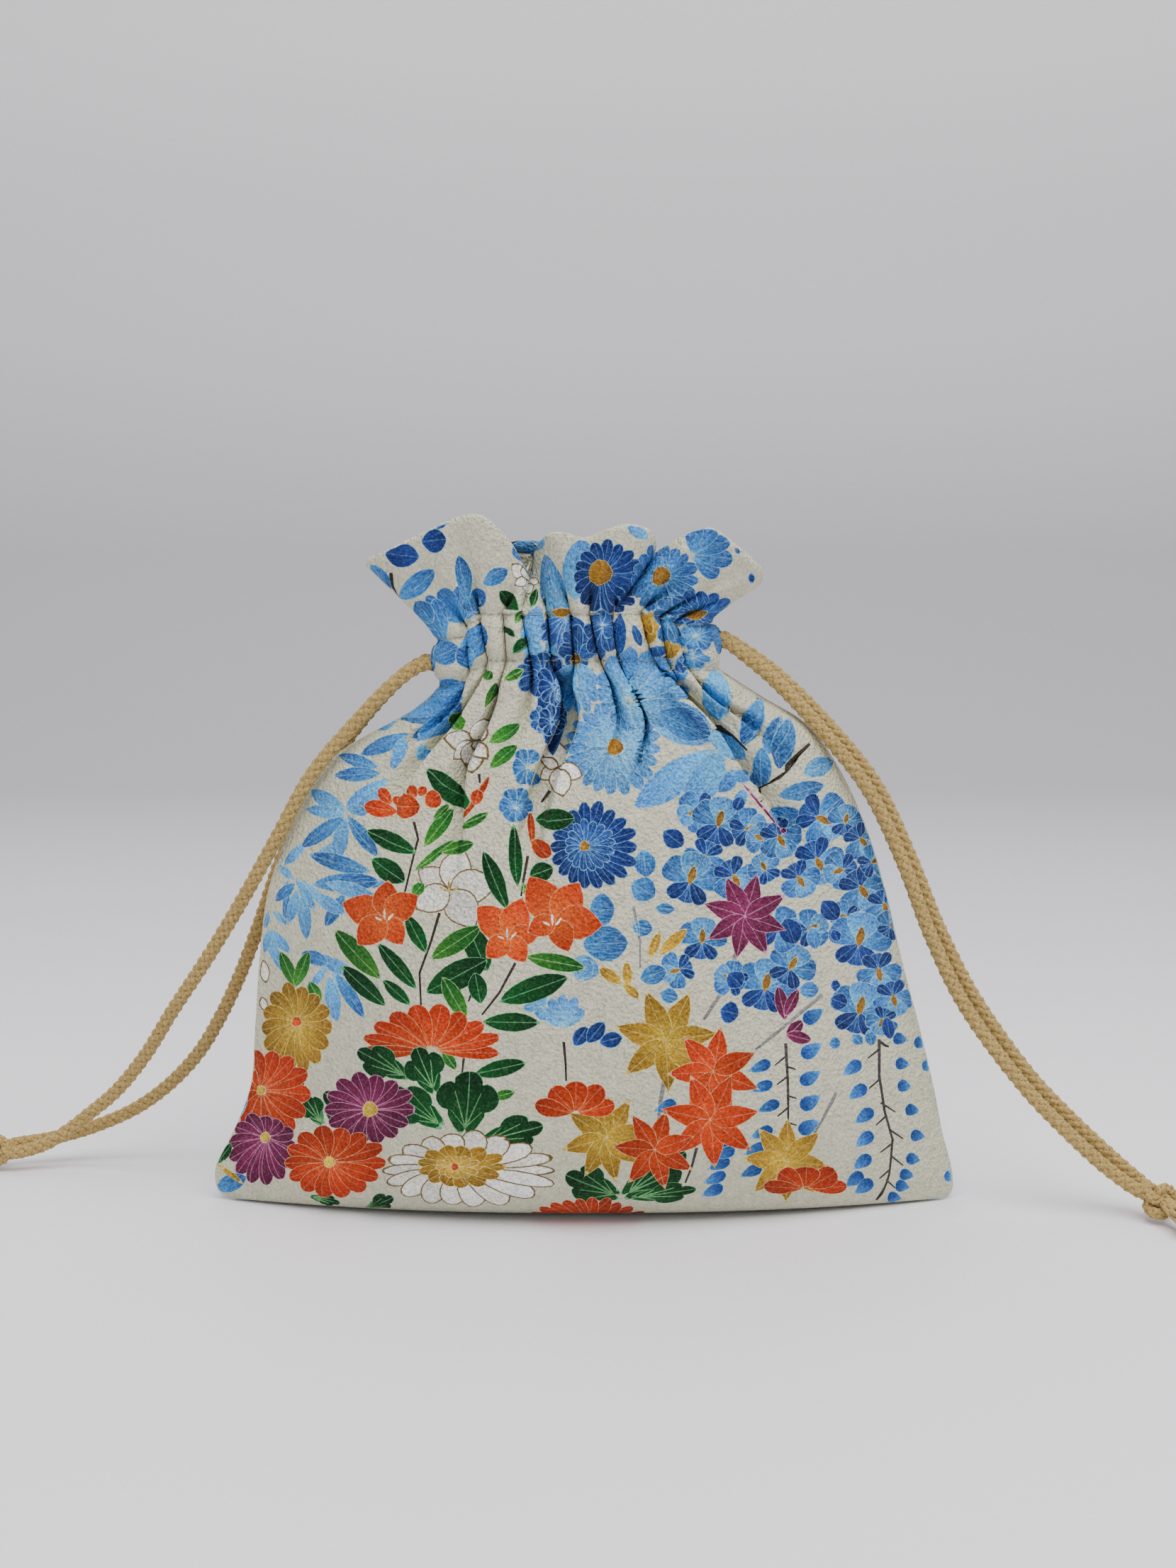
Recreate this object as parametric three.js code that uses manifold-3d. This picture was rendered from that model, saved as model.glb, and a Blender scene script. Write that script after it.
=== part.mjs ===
// Kinchaku drawstring pouch: two outer panels, a two-piece lining and two draw cords.
// Millimetres. +Z is up, +X to the pouch's right as its front is seen, and the front faces -Y.
// The origin is the middle of the base, on the surface that the pouch stands on.
import * as THREE from 'three';
import { mergeVertices } from 'three/addons/utils/BufferGeometryUtils.js';
import Module from 'manifold-3d';

const wasm = await Module();
wasm.setup();

// ---------------------------------------------------------------- driving dimensions
const CLOTH = 1.0; // outer crepe with its backing
const LINING = 0.8;
const GAP = 0.3; // between pieces that touch
const CORD_D = 4.2;
const CORD_SIDES = 8;
const CORD_STEP = 12; // length of one straight facet of a free strand
const LOOP_STEP = 5; // and of a loop inside the casing, which turns tighter

const BELLY_TOP = 139.5; // the lower stitch row of the casing
const CASING_LOW = 141.2;
const CASING_HIGH = 155.8;
const NECK_LOW = 144; // the gathered neck is straight from here to the upper stitch row,
const NECK_TOP = 157; // where the frill starts
const FRILL_TOP = 187;
const FRILL_SIDE = 170; // height of the frill's rim at its sides and between its lobes
const FRILL_WALL = 2.4; // two layers of cloth, turned over at the rim

const FOLDS_ACROSS = 10; // gathered folds on each panel
const FOLD_DEPTH = 2.2;
const TUNNEL_IN = 3.4; // the cord tunnel lies between these two depths below the cloth
const TUNNEL_OUT = 8.6;
const MOUTH_REACH = 9; // how far in from the side the tunnel's wall is open
const LOBES = 3;
const LOBE_BULGE = 4;

const RING_POINTS = 80;
const LINING_POINTS = 48;

// The outline at each height: left and right edges, half depth, and the plan's corner and
// roundness powers. A low corner power and a roundness of 1 give a lens with sharp side seams,
// and a high one with 0.5 gives a flat oval.
const OUTLINE = [
  { z: 0, left: -96, right: 97.5, depth: 14, corner: 2.4, round: 0.95 },
  { z: 3, left: -99.5, right: 100, depth: 20, corner: 2.3, round: 1 },
  { z: 9, left: -99.5, right: 99.5, depth: 25.5, corner: 2.2, round: 1 },
  { z: 18, left: -95, right: 97, depth: 30, corner: 2.2, round: 1 },
  { z: 30, left: -90, right: 94.5, depth: 33, corner: 2.2, round: 1 },
  { z: 48, left: -88, right: 90, depth: 34, corner: 2.2, round: 1 },
  { z: 66, left: -86.5, right: 85, depth: 33, corner: 2.2, round: 1 },
  { z: 86, left: -83.5, right: 80, depth: 30, corner: 2.2, round: 1 },
  { z: 104, left: -76.5, right: 74, depth: 26, corner: 2.3, round: 0.95 },
  { z: 120, left: -66.5, right: 66, depth: 21.5, corner: 2.6, round: 0.85 },
  { z: 132, left: -52, right: 57, depth: 18, corner: 3.4, round: 0.65 },
  { z: 140, left: -43, right: 44, depth: 16.3, corner: 4.2, round: 0.55 },
  { z: 144, left: -41, right: 38, depth: 16, corner: 4.5, round: 0.5 },
  { z: 157, left: -41, right: 35.5, depth: 16, corner: 4.5, round: 0.5 },
  { z: 171, left: -50.5, right: 43, depth: 17.5, corner: 4.5, round: 0.5 },
  { z: 187, left: -58.5, right: 48.5, depth: 20, corner: 4.5, round: 0.5 },
];

// Routes of the four free strands, from the casing's mouth to the knot.
const STRAND_ROUTES = {
  drawcord_left_front_strand: [
    [-39, -5.5, 145.7], [-41.5, -5.5, 145.5], [-45, -6, 143.8], [-49, -6.3, 140.7],
    [-59, -5, 130.6], [-71.2, -4.2, 116.3], [-80.3, -3, 100.3], [-90.9, 2, 82.1],
    [-101.4, 7, 65.4], [-112.5, 13, 49.1], [-121.3, 18, 35.4], [-130.7, 22.5, 23.9],
    [-139.4, 25.5, 16.3], [-145.7, 26.2, 11.3], [-152, 25.6, 7.6], [-157.5, 24.8, 6],
    [-161, 24, 5.6],
  ],
  drawcord_left_back_strand: [
    [-39, 5.5, 145.7], [-41.5, 5.7, 145.5], [-45, 7.2, 143.6], [-50, 9, 139.6],
    [-60, 9.5, 128.5], [-70, 9.5, 114.5], [-77, 9.8, 101.5], [-82, 11, 90.5], [-88.5, 14.5, 73],
    [-95.2, 19.5, 57], [-101.5, 24, 44.5], [-108.6, 28, 33.2], [-118.4, 31.5, 22.7],
    [-128.6, 33.5, 15.3], [-142.2, 33.5, 9.6], [-152, 32, 7.4], [-161, 29.4, 6.6],
  ],
  drawcord_right_front_strand: [
    [34.5, -5, 151.8], [37, -5, 151.4], [41.5, -4.8, 148.2], [50.3, -4, 140.8],
    [64.8, -3.4, 125.2], [75.1, -3, 111.8], [84.3, -3, 92.9], [91.8, -3.6, 73.6],
    [101, -5.4, 54.9], [116.8, -9, 33.6], [127, -11.4, 23], [135.4, -13.2, 15.2],
    [140.5, -14.4, 11.2], [145, -15.6, 8.2],
  ],
  drawcord_right_back_strand: [
    [34.5, 5, 151.8], [37, 5, 151.6], [41.5, 4.4, 149], [51, 3, 142.2], [66.5, 2, 126.8],
    [77.4, 1.8, 113], [86.8, 1.8, 93.8], [94.6, 1.2, 75], [104, -0.6, 56.6], [119, -4.2, 35.6],
    [129.2, -6.6, 25], [138, -8.6, 16.8], [143, -9.9, 12.4], [147.4, -11.2, 8.8],
  ],
};

// Each knot: its middle, the way its cord runs through it, and where its tassel ends.
const KNOT_RADIUS = 5.4;
const KNOT_HALF_LENGTH = 4.8;
const TASSEL_THIN = 2.6;
const TASSEL_WIDE = 4.4;
const ENDS = {
  left: { knot: [-166.6, 26.2, 5.6], way: [-1, -0.12, 0], tassel: [-198, 18, 4.6] },
  right: { knot: [151, -17.6, 5.6], way: [0.62, -0.78, 0], tassel: [165, -47, 4.6] },
};

const COLOURS = { outer: 0xe2decd, lining: 0xd9d2bd, cord: 0xc4a876 };

// ---------------------------------------------------------------- helpers
const mix = THREE.MathUtils.lerp;

function outlineAt(z) {
  const above = OUTLINE.findIndex((level) => level.z >= z);
  const high = OUTLINE[above < 0 ? OUTLINE.length - 1 : above];
  const low = OUTLINE[Math.max(0, (above < 0 ? OUTLINE.length : above) - 1)];
  const share = high.z === low.z ? 0 : (z - low.z) / (high.z - low.z);
  const at = (key) => mix(low[key], high[key], share);
  return Object.fromEntries(Object.keys(high).map((key) => [key, at(key)]));
}

// How deep the gathered folds are at a height: none on the belly, full at the casing.
function foldDepthAt(z) {
  const below = THREE.MathUtils.smoothstep(z, 98, NECK_TOP - 15);
  const above = 1 - 0.6 * THREE.MathUtils.smoothstep(z, NECK_TOP, FRILL_TOP);
  return FOLD_DEPTH * below * above;
}

// One point of the pouch's surface: s runs from -1 at the left seam to 1 at the right one,
// side is -1 on the front and 1 on the back, and inset is how far below the cloth it lies.
function surfacePoint(z, s, side, inset, folded) {
  const level = outlineAt(z);
  const wedge = mix(1, 2.6, (level.round - 0.5) / 0.5); // a sharp seam moves in faster
  const middle = (level.left + level.right) / 2;
  const halfWidth = (level.right - level.left) / 2 - inset * wedge;
  const frill = Math.max(0, (z - NECK_TOP) / (FRILL_TOP - NECK_TOP));
  const lobe = Math.abs(Math.cos((LOBES * Math.PI * s) / 2));
  const fold = 0.5 - 0.5 * Math.cos(Math.PI * FOLDS_ACROSS * s);
  const depth = level.depth - inset - (folded ? foldDepthAt(z) * fold : 0);
  const plan = Math.pow(Math.max(0, 1 - Math.pow(Math.abs(s), level.corner)), level.round);
  const rim = mix(FRILL_SIDE, FRILL_TOP, lobe);
  const height = frill > 0 ? mix(NECK_TOP, rim, frill) : z;
  return new THREE.Vector3(
    middle + halfWidth * s, side * (depth + LOBE_BULGE * frill * lobe) * plan, height);
}

// A closed ring around the pouch, anticlockwise from above, starting at the right seam.
function ringAt(z, inset, points, folded = true) {
  const half = points / 2;
  const across = (k) => 0.5 * Math.cos((Math.PI * k) / half) + 0.5 * (1 - (2 * k) / half);
  return Array.from({ length: points }, (_, k) => (k <= half
    ? surfacePoint(z, across(k), 1, inset, folded)
    : surfacePoint(z, across(points - k), -1, inset, folded)));
}

// A closed solid through a stack of rings, lowest first, with a fan over each end.
function loft(rings) {
  const count = rings[0].length;
  const capPoint = (ring) => ring
    .reduce((sum, p) => sum.add(p), new THREE.Vector3())
    .divideScalar(count);
  const last = rings.length - 1;
  const points = [...rings.flat(), capPoint(rings[0]), capPoint(rings[last])];
  const base = rings.length * count;
  const faces = [];
  for (let k = 0; k < count; k++) {
    const next = (k + 1) % count;
    faces.push(base, next, k, base + 1, last * count + k, last * count + next);
    for (let r = 0; r < last; r++) {
      const a = r * count + k;
      const b = r * count + next;
      faces.push(a, b, b + count, a, b + count, a + count);
    }
  }
  const geometry = new THREE.BufferGeometry().setFromPoints(points);
  geometry.setIndex(faces);
  return geometry;
}

function solidOf(geometry) {
  const bare = geometry.clone();
  bare.deleteAttribute('normal');
  bare.deleteAttribute('uv');
  const merged = mergeVertices(bare, 1e-3);
  return new wasm.Manifold(new wasm.Mesh({
    numProp: 3,
    vertProperties: merged.getAttribute('position').array,
    triVerts: new Uint32Array(merged.getIndex().array),
  }));
}

function geometryOf(solid) {
  const mesh = solid.getMesh();
  const geometry = new THREE.BufferGeometry();
  geometry.setAttribute('position', new THREE.BufferAttribute(mesh.vertProperties, 3));
  geometry.setIndex(new THREE.BufferAttribute(mesh.triVerts, 1));
  geometry.computeVertexNormals();
  return geometry;
}

function boxSolid(low, high) {
  const size = low.map((value, axis) => high[axis] - value);
  const middle = low.map((value, axis) => (high[axis] + value) / 2);
  return solidOf(new THREE.BoxGeometry(...size).translate(...middle));
}

const pouch = new THREE.Group();

function addPiece(name, geometry, colour) {
  const material = new THREE.MeshStandardMaterial({ color: colour, roughness: 0.9, metalness: 0 });
  const mesh = new THREE.Mesh(geometry, material);
  mesh.name = name;
  pouch.add(mesh);
  return mesh;
}

// ---------------------------------------------------------------- cloth
// Half of a hollow shell, in front of or behind the plane of the side seams.
const REACH = 300;
const FRONT_HALF = boxSolid([-REACH, -REACH, -REACH], [REACH, -GAP / 2, REACH]);
const BACK_HALF = boxSolid([-REACH, GAP / 2, -REACH], [REACH, REACH, REACH]);
// And its share below or above the lower stitch row.
const BELLY = boxSolid([-REACH, -REACH, -REACH], [REACH, REACH, BELLY_TOP - GAP]);
const TOP = boxSolid([-REACH, -REACH, BELLY_TOP], [REACH, REACH, REACH]);

function outerShell() {
  const skin = loft(OUTLINE.map((level) => ringAt(level.z, 0, RING_POINTS)));
  const bellyHeights = [CLOTH, ...OUTLINE.map((level) => level.z)
    .filter((z) => z > CLOTH && z < BELLY_TOP)];
  const facing = TUNNEL_OUT + CLOTH;
  const rimHeights = OUTLINE.map((level) => level.z).filter((z) => z > NECK_TOP);
  const hollow = loft([
    ...bellyHeights.map((z) => ringAt(z, CLOTH, RING_POINTS)),
    ringAt(BELLY_TOP, CLOTH, RING_POINTS),
    ...[BELLY_TOP + GAP, NECK_LOW, NECK_TOP].map((z) => ringAt(z, facing, RING_POINTS, false)),
    ringAt(NECK_TOP + 2, FRILL_WALL + FOLD_DEPTH, RING_POINTS, false),
    ...rimHeights.map((z) => ringAt(z, FRILL_WALL, RING_POINTS)),
    ringAt(FRILL_TOP, FRILL_WALL, RING_POINTS).map((p) => p.clone().setZ(p.z + 5)),
  ]);
  return solidOf(skin).subtract(solidOf(hollow));
}

// The casing's cord tunnel, all round between the cloth and its facing.
function cordTunnel() {
  const band = (inset) => solidOf(loft(
    [CASING_LOW, NECK_LOW, CASING_HIGH].map((z) => ringAt(z, inset, RING_POINTS, false))));
  return band(TUNNEL_IN).subtract(band(TUNNEL_OUT));
}

// The tunnel is open at both side seams, where the cords come out and turn back.
function casingMouths() {
  const neck = outlineAt(NECK_TOP);
  const side = neck.depth - TUNNEL_IN + 1;
  const left = boxSolid(
    [-REACH, -side, CASING_LOW], [neck.left + MOUTH_REACH, side, CASING_HIGH]);
  const right = boxSolid(
    [neck.right - MOUTH_REACH, -side, CASING_LOW], [REACH, side, CASING_HIGH]);
  const facing = solidOf(loft([CASING_LOW - 1, NECK_LOW, CASING_HIGH + 1].map(
    (z) => ringAt(z, TUNNEL_OUT, RING_POINTS, false))));
  return left.add(right).subtract(facing);
}

function liningShell() {
  const heights = [...OUTLINE.map((level) => level.z).filter((z) => z > 2 && z < 130), 134];
  const bag = (inset, floor) => solidOf(loft([floor, ...heights].map(
    (z) => ringAt(z, inset + foldDepthAt(z), LINING_POINTS, false))));
  const outside = bag(CLOTH + GAP, CLOTH + GAP);
  const insideRings = [CLOTH + GAP + LINING, ...heights].map(
    (z) => ringAt(z, CLOTH + GAP + LINING + foldDepthAt(z), LINING_POINTS, false));
  insideRings.push(insideRings.at(-1).map((p) => p.clone().setZ(p.z + 2)));
  return outside.subtract(solidOf(loft(insideRings)));
}

const outer = outerShell().subtract(cordTunnel()).subtract(casingMouths());
for (const [side, half] of [['front', FRONT_HALF], ['back', BACK_HALF]]) {
  const panel = outer.intersect(half);
  addPiece(`outer_${side}_panel`, geometryOf(panel.intersect(BELLY)), COLOURS.outer);
  addPiece(`${side}_casing_and_frill`, geometryOf(panel.intersect(TOP)), COLOURS.outer);
}

const lining = liningShell();
addPiece('lining_front_panel', geometryOf(lining.intersect(FRONT_HALF)), COLOURS.lining);
addPiece('lining_back_panel', geometryOf(lining.intersect(BACK_HALF)), COLOURS.lining);

// ---------------------------------------------------------------- cords
function cordAlong(points, step) {
  const route = new THREE.CatmullRomCurve3(
    points.map((p) => new THREE.Vector3(...p)), false, 'centripetal');
  const section = new THREE.Shape(Array.from({ length: CORD_SIDES }, (_, k) => {
    const angle = (2 * Math.PI * k) / CORD_SIDES;
    return new THREE.Vector2(Math.cos(angle), Math.sin(angle)).multiplyScalar(CORD_D / 2);
  }));
  return new THREE.ExtrudeGeometry(section, {
    steps: Math.round(route.getLength() / step),
    extrudePath: route,
    bevelEnabled: false,
  });
}

// A cord's run through both casings: from a mouth, round the far side and back. It lies in the
// middle of the tunnel, and side is -1 for the cord that leaves at the left.
function casingLoop(side, height, mouth) {
  const middle = (TUNNEL_IN + TUNNEL_OUT) / 2;
  const shares = [-0.88, -0.6, -0.2, 0.2, 0.6, 0.88, 0.97];
  const run = shares.map((share) => {
    const point = surfacePoint(height, -side * share, -1, middle, false);
    return [point.x, point.y, height];
  });
  const turn = surfacePoint(height, -side, -1, middle, false);
  const back = run.map(([x, y, z]) => [x, -y, z]).reverse();
  const [x, y, z] = mouth;
  const starts = [0.5, 3].map((inward) => [x - side * inward, y, z]);
  const ends = starts.map(([inX]) => [inX, -y, z]).reverse();
  return [...starts, ...run, [turn.x, 0, height], ...back, ...ends];
}

const CASING_LOOPS = {
  drawcord_left_casing_loop: casingLoop(-1, 145.7, STRAND_ROUTES.drawcord_left_front_strand[0]),
  drawcord_right_casing_loop: casingLoop(1, 151.8, STRAND_ROUTES.drawcord_right_front_strand[0]),
};

for (const [name, points] of Object.entries(STRAND_ROUTES)) {
  addPiece(name, cordAlong(points, CORD_STEP), COLOURS.cord);
}
for (const [name, points] of Object.entries(CASING_LOOPS)) {
  addPiece(name, cordAlong(points, LOOP_STEP), COLOURS.cord);
}

// A barrel-shaped solid of turning about +Y, from a list of [radius, height] pairs.
function turned(profile, sides) {
  return new THREE.LatheGeometry(profile.map(([r, h]) => new THREE.Vector2(r, h)), sides);
}

function layAlong(mesh, middle, way) {
  const up = new THREE.Vector3(0, 1, 0);
  mesh.quaternion.setFromUnitVectors(up, new THREE.Vector3(...way).normalize());
  mesh.position.set(...middle);
}

const KNOT_PROFILE = [-1, -0.92, -0.6, 0, 0.6, 0.92, 1].map((share) => [
  share === -1 || share === 1 ? 0 : KNOT_RADIUS * Math.pow(1 - Math.pow(share, 4), 0.5),
  share * KNOT_HALF_LENGTH,
]);

for (const [side, end] of Object.entries(ENDS)) {
  const knot = addPiece(`${side}_knot`, turned(KNOT_PROFILE, 14), COLOURS.cord);
  layAlong(knot, end.knot, end.way);

  const way = new THREE.Vector3(...end.way).normalize();
  const start = new THREE.Vector3(...end.knot).addScaledVector(way, KNOT_HALF_LENGTH + 2 * GAP);
  const finish = new THREE.Vector3(...end.tassel);
  const run = finish.clone().sub(start);
  const length = run.length();
  const profile = [
    [0, 0], [TASSEL_THIN, 0], [TASSEL_WIDE * 0.9, length * 0.35], [TASSEL_WIDE, length * 0.8],
    [TASSEL_WIDE * 0.9, length], [0, length],
  ];
  const tassel = addPiece(`${side}_tassel`, turned(profile, 12), COLOURS.cord);
  layAlong(tassel, start.toArray(), run.toArray());
}

export default pouch;
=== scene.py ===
"""Looks of a gathered drawstring pouch: printed crepe panels, lining, stitching and braided cords.

Lengths in the tables are millimetres in the row frame: +Z up, +X to the right as the front is
seen, the front faces -Y, and the origin is the middle of the base. Meshes are made in metres.
"""
import math

import bpy
import numpy as np
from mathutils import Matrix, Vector, geometry


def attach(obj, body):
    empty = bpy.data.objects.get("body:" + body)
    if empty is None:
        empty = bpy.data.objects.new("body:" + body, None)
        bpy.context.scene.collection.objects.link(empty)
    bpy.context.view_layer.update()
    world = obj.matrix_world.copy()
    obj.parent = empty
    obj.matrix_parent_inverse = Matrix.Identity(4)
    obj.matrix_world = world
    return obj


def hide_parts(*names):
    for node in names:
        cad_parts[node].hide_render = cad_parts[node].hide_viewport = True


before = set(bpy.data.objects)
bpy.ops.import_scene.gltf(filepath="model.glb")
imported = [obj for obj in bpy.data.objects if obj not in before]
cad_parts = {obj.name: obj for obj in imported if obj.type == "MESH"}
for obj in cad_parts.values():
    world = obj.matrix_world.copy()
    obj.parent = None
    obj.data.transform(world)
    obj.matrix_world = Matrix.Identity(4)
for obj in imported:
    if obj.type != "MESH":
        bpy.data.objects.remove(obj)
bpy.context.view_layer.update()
MM = 0.001

# ------------------------------------------------------------------ camera
EYE = np.array([1.2, -563.3, 187.6])  # the print is laid out as seen from here
camera_data = bpy.data.cameras.new("camera")
camera_data.sensor_fit = "VERTICAL"
camera_data.sensor_height = 24.0
camera_data.lens = 32.97
camera_data.clip_start = 0.02
camera = bpy.data.objects.new("camera", camera_data)
camera.location = EYE * MM
camera.rotation_euler = (math.radians(82.5), 0, 0)
bpy.context.scene.collection.objects.link(camera)
bpy.context.scene.camera = camera


# ------------------------------------------------------------------ numbers
def smooth(x, low, high):
    """0 below low, 1 above high, and 3t^2 - 2t^3 between them."""
    t = np.clip((np.asarray(x, float) - low) / (high - low), 0, 1)
    return t * t * (3 - 2 * t)


def spline(knots, values, at):
    """The smooth curve through values at knots, read at the places at: cubic pieces whose slope at a
    knot is the mean of its two neighbours' slopes, each weighted by the other's length."""
    knots, values = np.asarray(knots, float), np.asarray(values, float)
    flat = values.ndim == 1
    values = values[:, None] if flat else values
    at = np.clip(np.asarray(at, float), knots[0], knots[-1])
    step = np.diff(knots)[:, None]
    rise = np.diff(values, axis=0) / step
    inner = (rise[:-1] * step[1:] + rise[1:] * step[:-1]) / (step[1:] + step[:-1])
    slope = np.concatenate([rise[:1], inner, rise[-1:]])
    i = np.clip(np.searchsorted(knots, at, "right") - 1, 0, len(step) - 1)
    u = ((at - knots[i]) / step[i, 0])[..., None]
    h = step[i]
    out = (
        (1 + 2 * u) * (1 - u) ** 2 * values[i] + u * (1 - u) ** 2 * h * slope[i]
        + u * u * (3 - 2 * u) * values[i + 1] - u * u * (1 - u) * h * slope[i + 1]
    )
    return out[..., 0] if flat else out


def unit(v):
    """Vectors of length 1 with the directions of v."""
    return v / np.maximum(np.linalg.norm(v, axis=-1, keepdims=True), 1e-12)


def blurred(field, radius, axis):
    """field with a Gaussian blur of that radius, in samples, along one axis; the ends repeat."""
    reach = int(3 * radius) + 1
    kernel = np.exp(-0.5 * (np.arange(-reach, reach + 1) / radius) ** 2)
    kernel /= kernel.sum()
    field = np.moveaxis(field, axis, 0)
    padded = np.concatenate([field[:1].repeat(reach, 0), field, field[-1:].repeat(reach, 0)])
    out = sum(w * padded[k:k + len(field)] for k, w in enumerate(kernel))
    return np.moveaxis(out, 0, axis)


def route_through(points, step):
    """Points about step apart along the smooth curve through a given route, and their distances."""
    points = np.asarray(points, float)
    knots = np.concatenate([[0], np.cumsum(np.sqrt(np.linalg.norm(np.diff(points, axis=0), axis=1)))])
    fine = spline(knots, points, np.linspace(0, knots[-1], 60 * len(points)))
    along = np.concatenate([[0], np.cumsum(np.linalg.norm(np.diff(fine, axis=0), axis=1))])
    even = np.linspace(0, along[-1], max(2, int(round(along[-1] / step)) + 1))
    return np.stack([np.interp(even, along, fine[:, k]) for k in range(3)], 1), even


def frames_along(line, up):
    """At each point of a line, two directions square to it, from one up vector or one for each."""
    tangent = unit(np.gradient(line, axis=0))
    across = unit(np.cross(tangent, np.asarray(up, float)))
    return across, np.cross(across, tangent)


def between(table, r, c):
    """A table read at fractional rows r and columns c, between its four nearest entries."""
    r, c = np.clip(r, 0, table.shape[0] - 1.001), np.clip(c, 0, table.shape[1] - 1.001)
    i, j = r.astype(int), c.astype(int)
    u, v = (r - i)[..., None], (c - j)[..., None]
    return (table[i, j] * (1 - u) * (1 - v) + table[i + 1, j] * u * (1 - v)
            + table[i, j + 1] * (1 - u) * v + table[i + 1, j + 1] * u * v)


# ------------------------------------------------------------------ meshes
def add_mesh(name, points_mm, faces, material, uv=None):
    """A mesh object at the origin from points in millimetres and an (n, 3 or 4) array of faces."""
    faces = np.asarray(faces, np.int64)
    mesh = bpy.data.meshes.new(name)
    mesh.vertices.add(len(points_mm))
    mesh.vertices.foreach_set("co", (np.asarray(points_mm) * MM).astype(np.float32).ravel())
    size = faces.shape[1]
    mesh.loops.add(faces.size)
    mesh.loops.foreach_set("vertex_index", faces.astype(np.int32).ravel())
    mesh.polygons.add(len(faces))
    mesh.polygons.foreach_set("loop_start", np.arange(0, faces.size, size, dtype=np.int32))
    mesh.polygons.foreach_set("use_smooth", np.full(len(faces), True))
    if uv is not None:
        layer = mesh.uv_layers.new(name="OFBake")
        layer.data.foreach_set("uv", np.asarray(uv)[faces.ravel()].astype(np.float32).ravel())
    mesh.update(calc_edges=True)
    mesh.validate()
    obj = bpy.data.objects.new(name, mesh)
    bpy.context.scene.collection.objects.link(obj)
    mesh.materials.append(material)
    return obj


def grid_faces(rows, cols, wrap=False):
    """Quads over a rows x cols grid of points; wrap joins the last column to the first."""
    r = np.arange(rows - 1)[:, None]
    c = np.arange(cols if wrap else cols - 1)[None, :]
    n = (c + 1) % cols
    return np.stack([r * cols + c, r * cols + n, (r + 1) * cols + n, (r + 1) * cols + c], -1).reshape(-1, 4)


def tube(line, across, other, radii_a, radii_b, sides):
    """Rings of an elliptic tube along a line: point = centre + across*a*cos + other*b*sin."""
    angle = np.linspace(0, 2 * math.pi, sides, endpoint=False)
    a = np.broadcast_to(radii_a, len(line))[:, None, None]
    b = np.broadcast_to(radii_b, len(line))[:, None, None]
    ring = (
        line[:, None] + across[:, None] * a * np.cos(angle)[None, :, None]
        + other[:, None] * b * np.sin(angle)[None, :, None]
    )
    return ring.reshape(-1, 3), grid_faces(len(line), sides, True)


def joined(pieces):
    """Several (points, faces) pieces as one."""
    points, faces, start = [], [], 0
    for p, f in pieces:
        points.append(p)
        faces.append(f + start)
        start += len(p)
    return np.concatenate(points), np.concatenate(faces)


# ------------------------------------------------------------------ materials
def linear(colour):
    """A linear colour from a display colour out of 255."""
    c = np.asarray(colour, float) / 255
    return tuple(np.where(c <= 0.04045, c / 12.92, ((c + 0.055) / 1.055) ** 2.4).tolist())


def feed(links, socket, value):
    """Joins a socket to another node's socket, or sets it to a value."""
    if isinstance(value, bpy.types.NodeSocket):
        links.new(value, socket)
    else:
        socket.default_value = value


def new_node(nodes, links, kind, *values, **settings):
    """A node of that kind with its first inputs fed by values. A setting with a capital is an input
    too, and any other is a property of the node."""
    node = nodes.new(kind)
    for key, value in settings.items():
        if key[0].isupper():
            feed(links, node.inputs[key], value)
        else:
            setattr(node, key, value)
    for socket, value in zip(node.inputs, values):
        feed(links, socket, value)
    return node


def new_material(name, roughness, sheen=0.0):
    """A matt material, its nodes, links and shader, and the place on the object."""
    material = bpy.data.materials.new(name)
    material.use_nodes = True
    nodes, links = material.node_tree.nodes, material.node_tree.links
    shader = nodes["Principled BSDF"]
    shader.inputs["Roughness"].default_value = roughness
    shader.inputs["Specular IOR Level"].default_value = 0.12
    shader.inputs["Sheen Weight"].default_value = sheen
    shader.inputs["Sheen Roughness"].default_value = 0.5
    return material, nodes, links, shader, nodes.new("ShaderNodeTexCoord").outputs["Object"]


def ramped(nodes, links, shader, value, *stops):
    """Gives the shader a colour ramp over value, through (position, display colour) stops."""
    ramp = nodes.new("ShaderNodeValToRGB")
    links.new(value, ramp.inputs["Fac"])
    elements = ramp.color_ramp.elements
    for _ in stops[2:]:
        elements.new(0.5)
    for element, (position, colour) in zip(elements, stops):
        element.position = position
        element.color = (*linear(colour), 1)
    links.new(ramp.outputs["Color"], shader.inputs["Base Color"])


def bumped(nodes, links, shader, height, strength, distance):
    """Gives the shader a bump; distance is in metres."""
    bump = new_node(nodes, links, "ShaderNodeBump", Strength=strength, Distance=distance, Height=height)
    links.new(bump.outputs["Normal"], shader.inputs["Normal"])


def yarn_material():
    """Tan yarn: a fine mottle of fibres, darker in some stretches than in others."""
    material, nodes, links, shader, place = new_material("braided yarn", 0.75, 0.1)
    fibre = new_node(nodes, links, "ShaderNodeTexNoise", place, Scale=1700, Detail=3)
    ramped(nodes, links, shader, fibre.outputs["Fac"], (0.2, YARN_DARK), (0.8, YARN_LIGHT))
    bumped(nodes, links, shader, fibre.outputs["Fac"], 0.2, 0.0001)
    return material


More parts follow.
